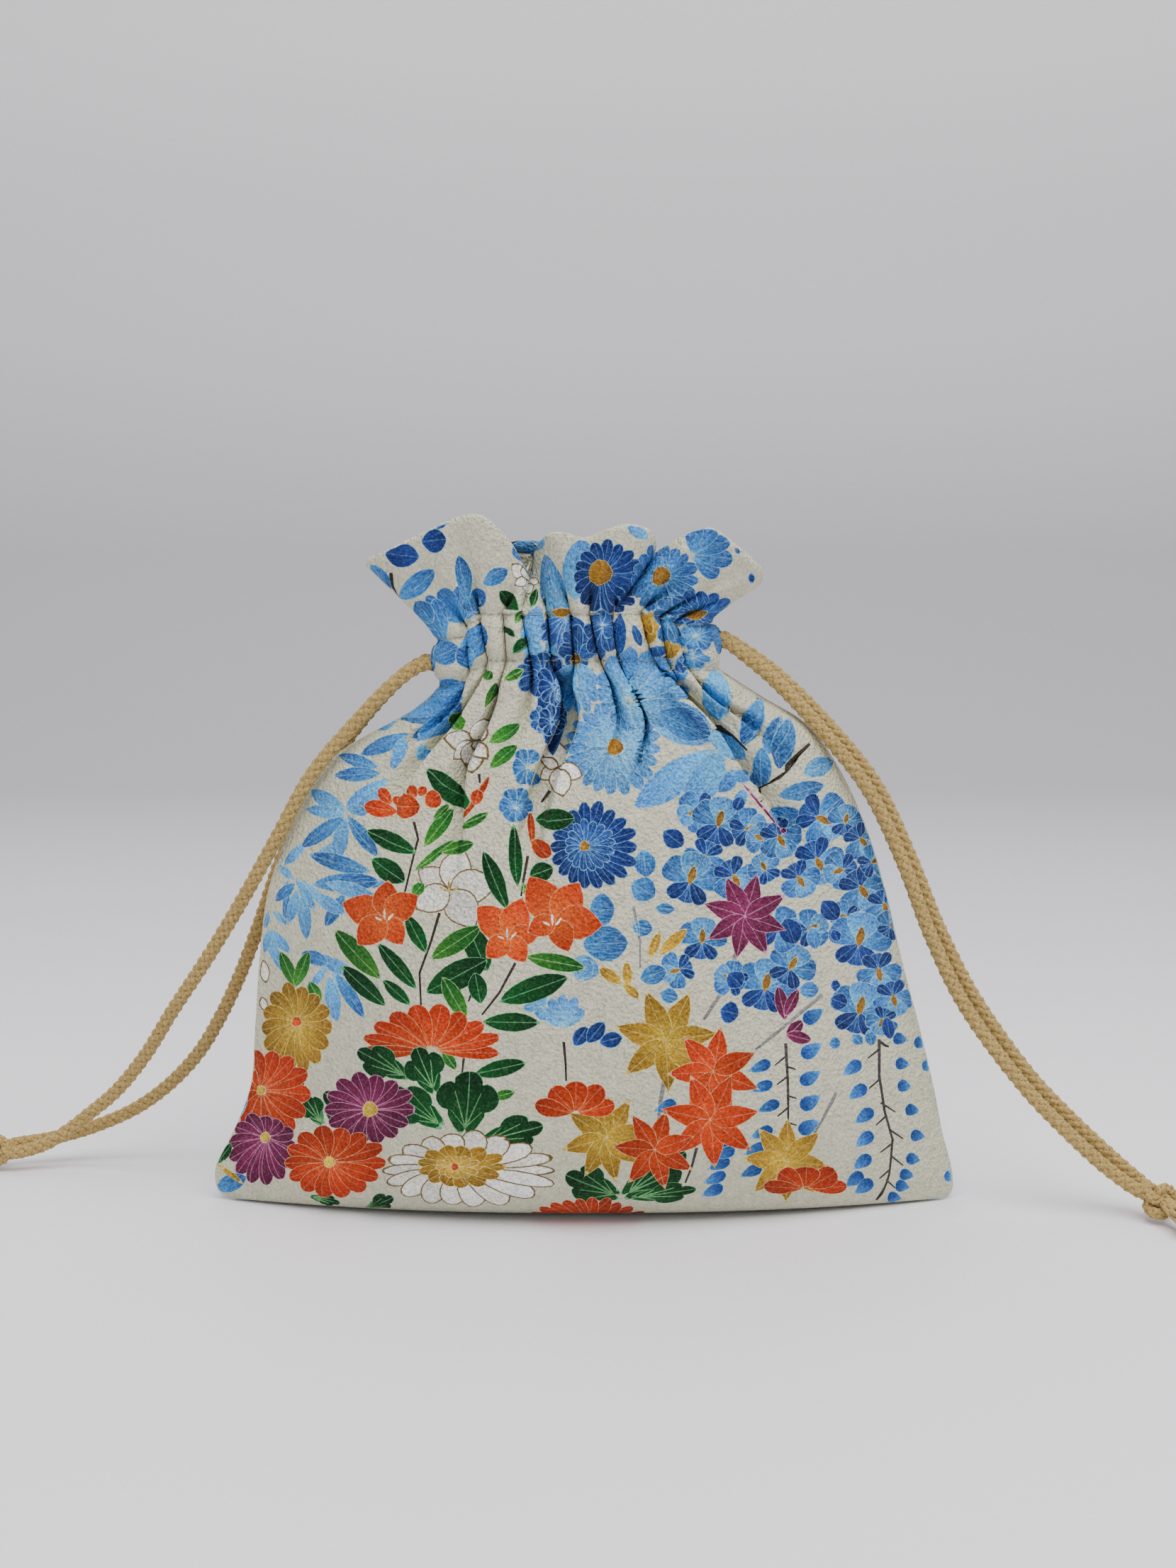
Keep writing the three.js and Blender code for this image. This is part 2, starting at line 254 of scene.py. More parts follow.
def lining_material():
    """Plain cotton: two crossed sets of fine threads as a bump, with a little unevenness of tone."""
    material, nodes, links, shader, place = new_material("lining cotton", 0.85, 0.2)
    uneven = new_node(nodes, links, "ShaderNodeTexNoise", place, Scale=600)
    ramped(nodes, links, shader, uneven.outputs["Fac"], (0.3, (206, 198, 172)), (0.7, (222, 216, 192)))
    threads = [new_node(nodes, links, "ShaderNodeTexWave", place, Scale=620, Distortion=0.6,
                        bands_direction=way).outputs["Fac"] for way in "XZ"]
    both = new_node(nodes, links, "ShaderNodeMath", *threads, operation="ADD")
    bumped(nodes, links, shader, both.outputs[0], 0.3, 0.0001)
    return material


def thread_material():
    """Sewing thread: cream, darker across its twist."""
    material, nodes, links, shader, place = new_material("sewing thread", 0.6, 0.2)
    # Painted shade: the dark bands stand for the grooves of the twist.
    twist_shade = new_node(nodes, links, "ShaderNodeTexWave", place, Scale=900, bands_direction="DIAGONAL")
    ramped(nodes, links, shader, twist_shade.outputs["Fac"], (0.0, (120, 122, 116)), (1.0, (176, 174, 156)))
    return material


YARN_DARK, YARN_LIGHT = (124, 100, 52), (210, 180, 116)
YARN = yarn_material()

# ------------------------------------------------------------------ cords
CORD_R = 2.1
LEAD = 11.0  # length of cord in which a yarn goes once round


def there_and_back(z, *places):
    """A cord's way through both casings at the height z: along the front through the places (x, y),
    round the last of them and back behind through the same places."""
    return [(x, -y, z) for x, y in places] + [(x, y, z) for x, y in places[-2::-1]]


ROUTES = {
    "drawcord_left_front_strand": [
        (-39, -5.5, 145.7), (-41.5, -5.5, 145.5), (-45, -6, 143.8), (-49, -6.3, 140.7),
        (-59, -5, 130.6), (-71.2, -4.2, 116.3), (-80.3, -3, 100.3), (-90.9, 2, 82.1),
        (-101.4, 7, 65.4), (-112.5, 13, 49.1), (-121.3, 18, 35.4), (-130.7, 22.5, 23.9),
        (-139.4, 25.5, 16.3), (-145.7, 26.2, 11.3), (-152, 25.6, 7.6), (-157.5, 24.8, 6),
        (-161, 24, 5.6), (-164, 25.2, 5.6)],
    "drawcord_left_back_strand": [
        (-39, 5.5, 145.7), (-41.5, 5.7, 145.5), (-45, 7.2, 143.6), (-50, 9, 139.6),
        (-60, 9.5, 128.5), (-70, 9.5, 114.5), (-77, 9.8, 101.5), (-82, 11, 90.5),
        (-88.5, 14.5, 73), (-95.2, 19.5, 57), (-101.5, 24, 44.5), (-108.6, 28, 33.2),
        (-118.4, 31.5, 22.7), (-128.6, 33.5, 15.3), (-142.2, 33.5, 9.6), (-152, 32, 7.4),
        (-161, 29.4, 6.6), (-164, 27.6, 6.1)],
    "drawcord_left_casing_loop": there_and_back(
        145.7, (-38.5, 5.5), (-36, 5.5), (-31, 6.6), (-21.6, 8.2), (-8.2, 8.4), (5.2, 8.4), (14.5, 8.6),
        (23.2, 8.8), (27.6, 7.6), (30.8, 4.4), (32, 0)),
    "drawcord_right_front_strand": [
        (34.5, -5, 151.8), (37, -5, 151.4), (41.5, -4.8, 148.2), (50.3, -4, 140.8),
        (64.8, -3.4, 125.2), (75.1, -3, 111.8), (84.3, -3, 92.9), (91.8, -3.6, 73.6),
        (101, -5.4, 54.9), (116.8, -9, 33.6), (127, -11.4, 23), (135.4, -13.2, 15.2),
        (140.5, -14.4, 11.2), (145, -15.6, 8.2), (147.8, -16.5, 7)],
    "drawcord_right_back_strand": [
        (34.5, 5, 151.8), (37, 5, 151.6), (41.5, 4.4, 149), (51, 3, 142.2),
        (66.5, 2, 126.8), (77.4, 1.8, 113), (86.8, 1.8, 93.8), (94.6, 1.2, 75),
        (104, -0.6, 56.6), (119, -4.2, 35.6), (129.2, -6.6, 25), (138, -8.6, 16.8),
        (143, -9.9, 12.4), (147.4, -11.2, 8.8), (149.2, -14.2, 7.4)],
    "drawcord_right_casing_loop": there_and_back(
        151.8, (34, 5), (31.5, 5), (26.7, 6.6), (17.5, 8.2), (4.4, 8.4), (-8.8, 8.4), (-17.5, 8.6),
        (-26.2, 8.8), (-30.6, 7.6), (-33.8, 4.4), (-35, 0)),
}
# Each knot's middle, the way its core points, and its tassel's route.
KNOTS = {
    "left": ((-166.6, 26.2, 5.7), (-0.2, -0.62, 0.76), [
        (-169, 25.4, 5.4), (-176, 23.6, 4.4), (-184, 21.6, 4.1), (-191, 19.6, 4.3), (-198, 18, 4.6)]),
    "right": ((151, -17.6, 5.7), (0.25, -0.66, 0.71), [
        (152.2, -20, 5.6), (154, -26, 4.6), (157, -33, 4.1), (161, -40, 4.3), (165, -47, 4.6)]),
}


def braid(line, across, other, radius=CORD_R, lead=LEAD, sides=7):
    """A round braid of eight yarns along a line. Yarn k goes round one way if k is even and the other
    way if it is odd; its distance from the middle is r0 + a*cos(8 pi s / lead), with the sign of a
    set by its way round, so at each crossing one passes over and the other under."""
    along = np.concatenate([[0], np.cumsum(np.linalg.norm(np.diff(line, axis=0), axis=1))])
    yarn_tall, yarn_wide = radius * 0.31, radius * 0.385
    swing = radius * 0.17
    middle = radius - yarn_tall - swing
    pieces = [tube(line, across, other, radius * 0.55, radius * 0.55, 8)]
    for k in range(8):
        way = 1 if k % 2 == 0 else -1
        angle = way * 2 * math.pi * along / lead + (k // 2) * math.pi / 2
        out = across * np.cos(angle)[:, None] + other * np.sin(angle)[:, None]
        height = middle + way * swing * np.cos(8 * math.pi * along / lead)
        yarn = line + out * height[:, None]
        ahead = unit(np.gradient(yarn, axis=0))
        sideways = unit(np.cross(ahead, out))
        pieces.append(tube(yarn, sideways, np.cross(sideways, ahead), yarn_wide, yarn_tall, sides))
    return joined(pieces)


def knot_braid(middle, core, radius=1.75, ring=2.55, wrap=1.75):
    """A tight overhand knot: the cord winds three times through a ring while it goes twice round it.
    Its line is core circle + wrap*(cos 3a * outward + sin 3a * core) at the angle 2a round the ring."""
    a = np.linspace(0.0, 2 * math.pi * 1.01, 96)
    core = unit(np.array(core, float))
    east = unit(np.cross((0, 0, 1), core))
    north = np.cross(core, east)
    outward = np.cos(2 * a)[:, None] * east + np.sin(2 * a)[:, None] * north
    line = np.array(middle) + outward * (ring + wrap * np.cos(3 * a))[:, None] \
        + core * (0.8 * wrap * np.sin(3 * a))[:, None]
    from_core = outward * np.cos(3 * a)[:, None] + core * np.sin(3 * a)[:, None]
    across, other = frames_along(line, from_core)
    return braid(line, across, other, radius, 10.0, 6)


def tassel_yarns(route, count=16, spread=(1.5, 3.9)):
    """Unbraided yarns from a knot. Yarn k lies off the middle line by its own share of the spread, at
    the angle k*137.5 degrees, and waves by sin(2 pi s / 8.5 mm + k*1.9) as it did in the braid."""
    line, along = route_through(route, 0.8)
    across, other = frames_along(line, (0, 0, 1))
    share = along / along[-1]
    pieces = []
    for k in range(count):
        angle = math.radians(137.5 * k) + 0.5 * share
        off = math.sqrt((k + 0.5) / count) * (spread[0] + (spread[1] - spread[0]) * smooth(share, 0, 0.5))
        wave = 0.5 * np.sin(2 * math.pi * along / 8.5 + 1.9 * k) * smooth(share, 0, 0.15)
        yarn = line + across * (off * np.cos(angle) + wave)[:, None] \
            + other * (0.8 * off * np.sin(angle) + 0.7 * wave)[:, None]
        yarn = yarn[:len(yarn) - (k * 5) % 4]
        yarn[:, 2] = np.maximum(yarn[:, 2], 0.7)
        side, up = frames_along(yarn, (0, 0, 1))
        thick = 0.68 * (1 - 0.5 * smooth(np.linspace(0, 1, len(yarn)), 0.9, 1))
        pieces.append(tube(yarn, side, up, thick, thick, 7))
    return joined(pieces)


cords = {}
for name, route in ROUTES.items():
    line, _ = route_through(route, 0.5)
    frames = frames_along(line, (0, 0.05, 1) if "loop" in name else (0, 1, 0))
    cords[name] = (add_mesh(name + "_braid", *braid(line, *frames), YARN), line)
ends = {}
for side, (middle, core, route) in KNOTS.items():
    ends[side] = (
        add_mesh(side + "_knot_braid", *knot_braid(middle, core), YARN),
        add_mesh(side + "_tassel_yarns", *tassel_yarns(route), YARN))

# ------------------------------------------------------------------ cloth shape
HALF = 105.0  # half of a panel's flat width
CASING_LOW, CASING_HIGH = 147.0, 159.0  # heights of the two stitch rows
CASING_LEFT, CASING_RIGHT = -41, 36.5  # its two ends
FRILL = 30.0  # cloth from the upper stitch row to the rim
TURNED_IN = 50.0  # cloth from the rim down inside
STEP = 0.5  # of the tables of surface points

# The body's outline, level by level: height, left edge, right edge, half depth, and the two powers p
# and r of its plan curve.
LEVELS = np.array([
    (1.0, -95, 97, 0.5, 2.4, 0.95), (0.6, -96, 97.6, 7, 2.4, 0.95), (1.0, -97.5, 98.8, 14, 2.4, 0.95),
    (3.6, -99.3, 100, 20, 2.3, 1), (9, -99.5, 99.5, 25.5, 2.2, 1), (18, -95, 97, 30, 2.2, 1),
    (30, -90, 94.5, 33, 2.2, 1), (48, -88, 90, 34, 2.2, 1), (66, -86.5, 85, 33, 2.2, 1),
    (86, -83.5, 80, 30, 2.2, 1), (104, -76.5, 74, 26, 2.3, 0.95), (120, -66.5, 66, 21.5, 2.6, 0.85),
    (132, -52, 57, 18, 3.4, 0.65), (140, -43.5, 45.5, 16.6, 4.2, 0.55), (147, -40.5, 39, 16, 4.5, 0.5),
    (159, -41, 35.5, 16, 4.5, 0.5)])

# Gathered folds of each panel, by their valleys: flat place, place at the casing, depth there, depth
# just below it, height where the fold dies out, flat width of its left and of its right flank, and
# how far it leans to the right over the casing's height.
FRONT_FOLDS = [
    (-84, -31.0, 6.0, 5.2, 112, 9, 7, 0.8), (-66, -26.5, 6.6, 8.5, 98, 11, 5, -0.8),
    (-38, -20.8, 7.2, 11.0, 86, 14, 2.2, 0.7), (-29, -15.2, 6.2, 5.0, 119, 4, 4, -0.6),
    (-20, -9.2, 7.2, 6.5, 84, 1.8, 4, 0.4), (-12, -3.3, 7.0, 6.0, 104, 4, 2.2, 0.7),
    (5.5, 2.4, 6.4, 7.0, 115, 3.5, 5, -0.5), (16, 7.6, 6.6, 9.0, 112, 3, 6, 0.5),
    (72, 16.0, 7.4, 10.5, 82, 2.2, 15, -0.9), (82, 20.5, 6.2, 4.6, 120, 4, 5, 0.6),
    (91, 25.3, 6.6, 7.5, 114, 4, 6, -0.5)]
# The one wide pleat: flat places of its two edges, its depth and the height where it dies out.
FRONT_PLEAT = (-20, -12, 14.0, 92)
BACK_FOLDS = [
    (-88, -33.5, 5.4, 4.5, 104, 8, 8, 0.5), (-70, -26, 5.8, 5.0, 92, 8, 8, -0.6),
    (-55, -20, 5.4, 4.0, 108, 6, 6, 0.4), (-36, -14.5, 6.0, 6.5, 84, 3, 12, -0.5),
    (-20, -8.5, 5.6, 4.5, 104, 6, 6, 0.5), (-3, -2.5, 6.0, 6.0, 78, 10, 3, -0.4),
    (15, 3.5, 5.8, 4.5, 106, 6, 7, 0.6), (34, 10.5, 6.0, 6.2, 90, 3, 11, -0.5),
    (50, 16, 5.4, 4.0, 110, 6, 6, 0.4), (67, 21.5, 5.8, 5.5, 86, 9, 5, -0.6),
    (86, 28, 5.4, 4.5, 104, 8, 7, 0.5)]
BACK_PLEAT = (15, 20, 4.0, 112)

# The frill's rim: flat place and where it is.
FRONT_RIM = [
    (-105, -56.5, -1, 170.5), (-98, -56.8, -5, 172.2), (-90, -51, -10, 175), (-80, -43.5, -14, 178.6),
    (-70, -36, -17, 182), (-61, -29.5, -18.5, 184.3), (-53, -24.5, -18.5, 183.6), (-46, -19.5, -17.5, 179),
    (-40, -15.6, -16, 173.5), (-34, -13.4, -11.5, 169), (-28, -13.8, -4, 169.5), (-22, -13.2, -3, 174),
    (-17, -11.2, -10, 178), (-11, -8.6, -15.5, 179.8), (-5, -4, -17.5, 179.6), (1, 0.5, -17, 178.6),
    (7, 5, -18, 180.4), (13, 10, -19, 181.8), (19, 15, -18.5, 181.2), (25, 18.8, -15.5, 178.8),
    (30, 18.6, -8, 174), (35, 16, -2.5, 171.5), (41, 16.8, -3.5, 173.5), (48, 21, -10, 176.8),
    (56, 28, -16.5, 180.6), (64, 33, -18, 180.8), (73, 38.5, -16.5, 177), (82, 44, -13, 172.5),
    (91, 47, -8.5, 168.6), (99, 45.5, -4, 165.5), (105, 42, -0.8, 163.5)]
BACK_RIM = [
    (-105, -56.5, 1, 170.5), (-96, -55, 5.5, 171), (-86, -49, 10.5, 173), (-75, -41.5, 14.5, 175.5),
    (-64, -34, 17, 177), (-54, -27.5, 17, 177.5), (-45, -23, 12, 177), (-38, -20, 6, 177.4),
    (-32, -16, 3.5, 178), (-26, -12, 6, 177.6), (-18, -8, 11, 175.5), (-9, -3.5, 15.5, 174.5),
    (1, 2.5, 16.5, 174.5), (11, 9.5, 15, 174.5), (20, 15, 11, 173.5), (27, 16.5, 5.5, 172.5),
    (33, 18.5, 5.5, 173), (41, 23, 11, 175), (50, 28.5, 15.5, 176.5), (60, 35, 16.5, 175.5),
    (71, 40, 13.5, 172.5), (82, 44, 9.5, 169), (93, 44.5, 5, 166), (105, 42, 0.8, 163.5)]

flat_t = np.arange(-HALF, HALF + 1e-6, STEP)
level_q = np.concatenate([[0], np.cumsum(np.hypot(np.diff(LEVELS[:, 3]), np.diff(LEVELS[:, 0])))])
LINING_Q = level_q[12]  # cloth heights: the lining's edge,
LOW_Q, BODY_Q = level_q[14], level_q[-1]  # the lower and upper stitch rows,
RIM_Q = BODY_Q + FRILL  # the rim, and the turned-in edge
TOTAL_Q = RIM_Q + TURNED_IN
flat_q = np.arange(0, TOTAL_Q + STEP, STEP)


def fold_pull(folds, pleat, z):
    """How far the folds below the casing draw the cloth in and slide it sideways. Each valley is
    depth * (1 - smooth)^1.4 over its two flanks and the pleat is flat between its edges. The deepest
    one counts. The crest of a steep flank stands out a little and slides over its valley."""
    pull, lips, slide = np.zeros((len(z), len(flat_t))), 0, 0
    for t, _, _, depth, dies, left, right, _ in folds:
        alive = (depth * smooth(z, dies, CASING_LOW) ** 0.75)[:, None]
        s = np.where(flat_t < t, (t - flat_t) / left, (flat_t - t) / right)
        pull = np.maximum(pull, alive * (1 - smooth(s, 0, 1)) ** 1.4)
        if abs(left - right) > 8:
            crest = t - 2.2 * left if left < right else t + 2.2 * right
            lips = lips + 0.16 * alive * np.exp(-((flat_t - crest) / 5) ** 2)
        for way, near_side, far_side in ((1, left, right), (-1, right, left)):
            over = 0.3 if near_side <= far_side else 0.06
            crest = t - way * 1.1 * near_side
            slide = slide + way * over * alive * np.exp(-((flat_t - crest) / (0.6 * near_side + 0.8)) ** 2)
    low, high, depth, dies = pleat
    trough = smooth(flat_t, low - 0.6, low + 1.4) * (1 - smooth(flat_t, high - 1.4, high + 0.6))
    alive = (depth * smooth(z, dies, CASING_LOW) ** 0.6)[:, None]
    for way, edge in ((1, low - 1.5), (-1, high + 1.5)):
        slide = slide + way * 0.1 * alive * np.exp(-((flat_t - edge) / 1.5) ** 2)
    return np.maximum(pull, alive * trough) - lips, slide


def body_rows(side, folds, pleat, q):
    """The gathered body at the cloth heights q. Each row is the plan curve y = depth*(1-|s|^p)^r,
    spread evenly by arc length on the belly and by the table of folds at the casing. Between two
    valleys of the casing the cloth goes round most of a circle, x = r*sin A and y = r*cos A for A
    from -125 to 125 degrees, so that neighbouring puffs touch and hide the valley between them."""
    z, left, right, depth, corner, power = spline(level_q, LEVELS, q).T
    z = np.maximum(z, 0.4)
    s = np.sin(np.linspace(-1, 1, 801) * math.pi / 2)
    plan = np.maximum(0, 1 - np.abs(s)[None] ** corner[:, None]) ** power[:, None]
    x = ((left + right) / 2)[:, None] + ((right - left) / 2)[:, None] * s
    y = depth[:, None] * plan
    arc = np.concatenate([
        np.zeros((len(q), 1)), np.cumsum(np.hypot(np.diff(x, axis=1), np.diff(y, axis=1)), axis=1)], 1)
    share = 2 * arc / arc[:, -1:] - 1
    even = np.stack([np.interp(flat_t / HALF, share[r], s) for r in range(len(q))])
    table = np.array(folds, float)
    mid, wide = (CASING_LEFT + CASING_RIGHT) / 2, (CASING_RIGHT - CASING_LEFT) / 2
    knots = np.array([-HALF, *table[:, 0], HALF])
    at_casing = np.interp(flat_t, knots, [-1, *((table[:, 1] - mid) / wide), 1])
    tilt = np.interp(flat_t, knots, [0, *(table[:, 7] / wide), 0])
    gathered = smooth(z, 96, 143)[:, None]
    up_casing = (z - (CASING_HIGH + CASING_LOW) / 2) / ((CASING_HIGH - CASING_LOW) / 2)
    leaning = tilt[None] * up_casing[:, None] * smooth(z, 136, CASING_LOW)[:, None]
    s = even * (1 - gathered) + at_casing[None] * gathered + leaning
    plan = np.maximum(0, 1 - np.abs(s) ** corner[:, None]) ** power[:, None]
    base = np.stack([
        ((left + right) / 2)[:, None] + ((right - left) / 2)[:, None] * s,
        side * depth[:, None] * plan, np.broadcast_to(z[:, None], s.shape)], -1)

    # The puffs of the casing. In puff k, w runs from -1 to 1 between its two valleys. The circle takes
    # up 86% of that, and the rest goes straight on into the valleys.
    k = np.clip(np.searchsorted(knots, flat_t, "right") - 1, 0, len(knots) - 2)
    u = (flat_t - knots[k]) / (knots[k + 1] - knots[k])
    w, blend = 2 * u - 1, smooth(u, 0, 1)
    full = np.array([3.0, *table[:, 2], 3.0])
    deep = full[k] * (1 - blend) + full[k + 1] * blend
    places = np.array([CASING_LEFT, *table[:, 1], CASING_RIGHT])
    radius = np.diff(places)[k] / 2
    reach, ends = math.radians(125), np.clip((np.abs(w) - 0.86) / 0.14, 0, 1)
    turned = np.clip(w / 0.86, -1, 1) * reach
    slide = radius * (np.sin(turned) * (1 - ends) + np.sign(w) * ends - w)
    puff = deep * (0.88 * (1 - np.cos(turned)) / (1 - math.cos(reach)) + 0.12 * ends)
    # Each stitch row takes a quarter of a puff's depth and 2.2 mm more, over 1.6 mm up and down.
    # Between the rows the puffs stand out 0.7 mm, and up to 0.7 mm more or less than that by turns.
    forward = 0.7 * np.sin(2.7 * k + 1) * np.cos(math.pi * w / 2) ** 2
    pinch = (np.exp(-((z - CASING_LOW) / 1.6) ** 2) + np.exp(-((z - CASING_HIGH) / 1.6) ** 2))[:, None]
    in_casing = puff * (1 - 0.25 * pinch) + 2.2 * pinch - (0.7 + forward) * (1 - pinch)
    near = smooth(z, 139, CASING_LOW)[:, None]
    pull, over = fold_pull(folds, pleat, z)
    pull = pull * (1 - near) + in_casing * near
    slide = slide * near + over * (1 - near)
    tangent = unit(np.gradient(base[..., :2], axis=1))
    inward = np.stack([-tangent[..., 1], tangent[..., 0]], -1) * -side
    base[..., :2] += inward * pull[..., None] + tangent * slide[..., None]
    # The belly isn't quite even: two slow waves, less towards the seams.
    slack = smooth(z, 4, 30) * (1 - 0.5 * smooth(z, 110, 140))
    waves = 0.55 * np.sin(flat_t / 15 + q[:, None] / 34) + 0.35 * np.sin(flat_t / 8.5 - q[:, None] / 19)
    base[..., 1] += slack[:, None] * waves * (1 - even ** 4)
    # The casing droops towards its two mouths.
    droop = 7 * smooth(-flat_t, 60, 102) + 3 * smooth(flat_t, 70, 104)
    base[..., 2] -= droop[None] * smooth(z, 120, CASING_LOW)[:, None]
    return base


def panel_surface(side, folds, pleat, rim):
    """The whole panel as a table of points over (cloth height q, flat place t): the body, the frill
    from the upper stitch row to its rim, and the same cloth turned over the rim and down inside. The
    frill is the straight way from the row to the rim, with the folds fading as (1 - share)^1.8."""
    outer_q = flat_q[flat_q <= BODY_Q]
    body = body_rows(side, folds, pleat, outer_q)
    top = body_rows(side, folds, pleat, np.array([BODY_Q]))[0]
    even_top = blurred(top, 12, 0)
    rim = np.array(rim, float)
    edge = spline(rim[:, 0], rim[:, 1:], flat_t)
    v = ((flat_q[(flat_q > BODY_Q) & (flat_q <= RIM_Q)] - BODY_Q) / FRILL)[:, None, None]
    folded = (1 - v) ** 1.8 * (1 + 1.5 * np.exp(-v * 12) * (1 - np.exp(-v * 30)))
    frill = even_top + (edge - even_top) * v + (top - even_top) * folded
    frill[..., 1:2] += side * 1.6 * np.sin(math.pi * v ** 0.8)
    outer = np.concatenate([body, frill])
    for axis, radius in ((0, 1.2), (1, 0.8)):  # softened by a sample or so each way
        outer = blurred(outer, radius, axis)
    # Turned over the rim: the inner layer is the outer one mirrored about the rim and moved inwards,
    # smoothed where it goes past the folds, and further in below the frill to leave the cord room.
    along, up = np.gradient(outer, axis=1), np.gradient(outer, axis=0)
    normal = unit(np.cross(along, up)) * (1 if side < 0 else -1)
    count = len(flat_q) - len(outer)
    mirrored = np.arange(len(outer) - 1, len(outer) - 1 - count, -1)
    from_rim = (len(outer) - 1 - np.arange(len(outer))) * STEP
    roll = 1.3
    turn = roll * (1 - np.sqrt(np.maximum(0, 1 - (np.maximum(0, roll - from_rim) / roll) ** 2)))
    even_inner = blurred(outer[mirrored], 9, 1)
    inside = smooth(from_rim[mirrored], 12, 28)[:, None, None]
    inner = outer[mirrored] * (1 - inside) + even_inner * inside
    inner -= normal[mirrored] * (2 * roll - turn[mirrored])[:, None, None] * (1 - inside)
    room = (1.6 + 5.4 * smooth(from_rim[mirrored], 22, 32))[:, None]
    inner[..., 1] -= side * inside[..., 0] * room * (1 - (np.abs(flat_t) / HALF) ** 6)
    return np.concatenate([outer - normal * turn[:, None, None], inner])


front_table = panel_surface(-1, FRONT_FOLDS, FRONT_PLEAT, FRONT_RIM)
back_table = panel_surface(1, BACK_FOLDS, BACK_PLEAT, BACK_RIM)


def on_cloth(table, t, q):
    """Points of the cloth at flat places (t, q)."""
    return between(table, np.asarray(q) / STEP, (np.asarray(t) + HALF) / STEP)


def off_cloth(table, side, t, q):
    """The outward normal of the cloth at flat places."""
    along = on_cloth(table, t + 0.6, q) - on_cloth(table, t - 0.6, q)
    up = on_cloth(table, t, q + 0.6) - on_cloth(table, t, q - 0.6)
    return unit(np.cross(along, up)) * (1 if side < 0 else -1)


# ------------------------------------------------------------------ print
# Inks: colour at a shape's root, colour at its tip, colour of its rim and veins, how strong its veins
# and its streaks are, and how wide its rim is. Display colours out of 255.
CREAM = (208, 206, 180)
INKS = {
    "haze": ((150, 150, 148), (140, 140, 138), CREAM, 0, 0, 0),
    "wood": ((58, 48, 42), (46, 38, 34), CREAM, 0, 0, 0),
    "ink": ((66, 62, 62), (54, 50, 50), CREAM, 0, 0, 0),
    "mist": ((92, 184, 238), (48, 116, 192), (150, 192, 210), 0.35, 0.42, 1.0),
    "haze_blue": ((118, 196, 240), (70, 148, 214), (146, 192, 214), 0.2, 0.4, 1.0),
    "sky": ((62, 146, 216), (30, 74, 146), (130, 182, 214), 0.45, 0.32, 1.0),
    "blue": ((44, 92, 170), (24, 48, 120), (116, 168, 212), 0.3, 0.2, 1.0),
    "deep": ((34, 60, 132), (16, 28, 90), (106, 158, 210), 0.35, 0.12, 0.9),
    "drop": ((18, 50, 124), (72, 142, 212), (120, 176, 214), 0, 0.12, 0.8),
    "orange": ((204, 72, 26), (164, 42, 16), (226, 166, 120), 0.3, 0.02, 0.7),
    "bell": ((212, 96, 36), (180, 50, 18), (226, 156, 112), 0, 0.03, 0.8),
    "gold": ((206, 168, 44), (134, 92, 22), (222, 200, 116), 0.4, 0.16, 0.9),
    "yellow": ((220, 188, 52), (176, 128, 34), (234, 214, 140), 0.2, 0.2, 0.8),
    "almond": ((164, 114, 32), (106, 70, 28), (206, 184, 110), 0, 0.2, 0.8),
    "plum": ((126, 40, 84), (78, 12, 46), (206, 146, 178), 0.42, 0.06, 0.7),
    "white": ((230, 226, 212), (248, 245, 232), (112, 88, 44), 0, 0, 2.2),
    "stamen": ((252, 246, 226), (255, 250, 236), (236, 196, 150), 0, 0, 0),
    "green": ((12, 84, 34), (2, 44, 18), (104, 172, 118), 0.6, 0.02, 0.7),
    "fresh": ((66, 136, 44), (10, 82, 28), (140, 190, 116), 0.6, 0.04, 0.8),
    "rib": ((112, 168, 110), (88, 150, 92), CREAM, 0, 0, 0),
}
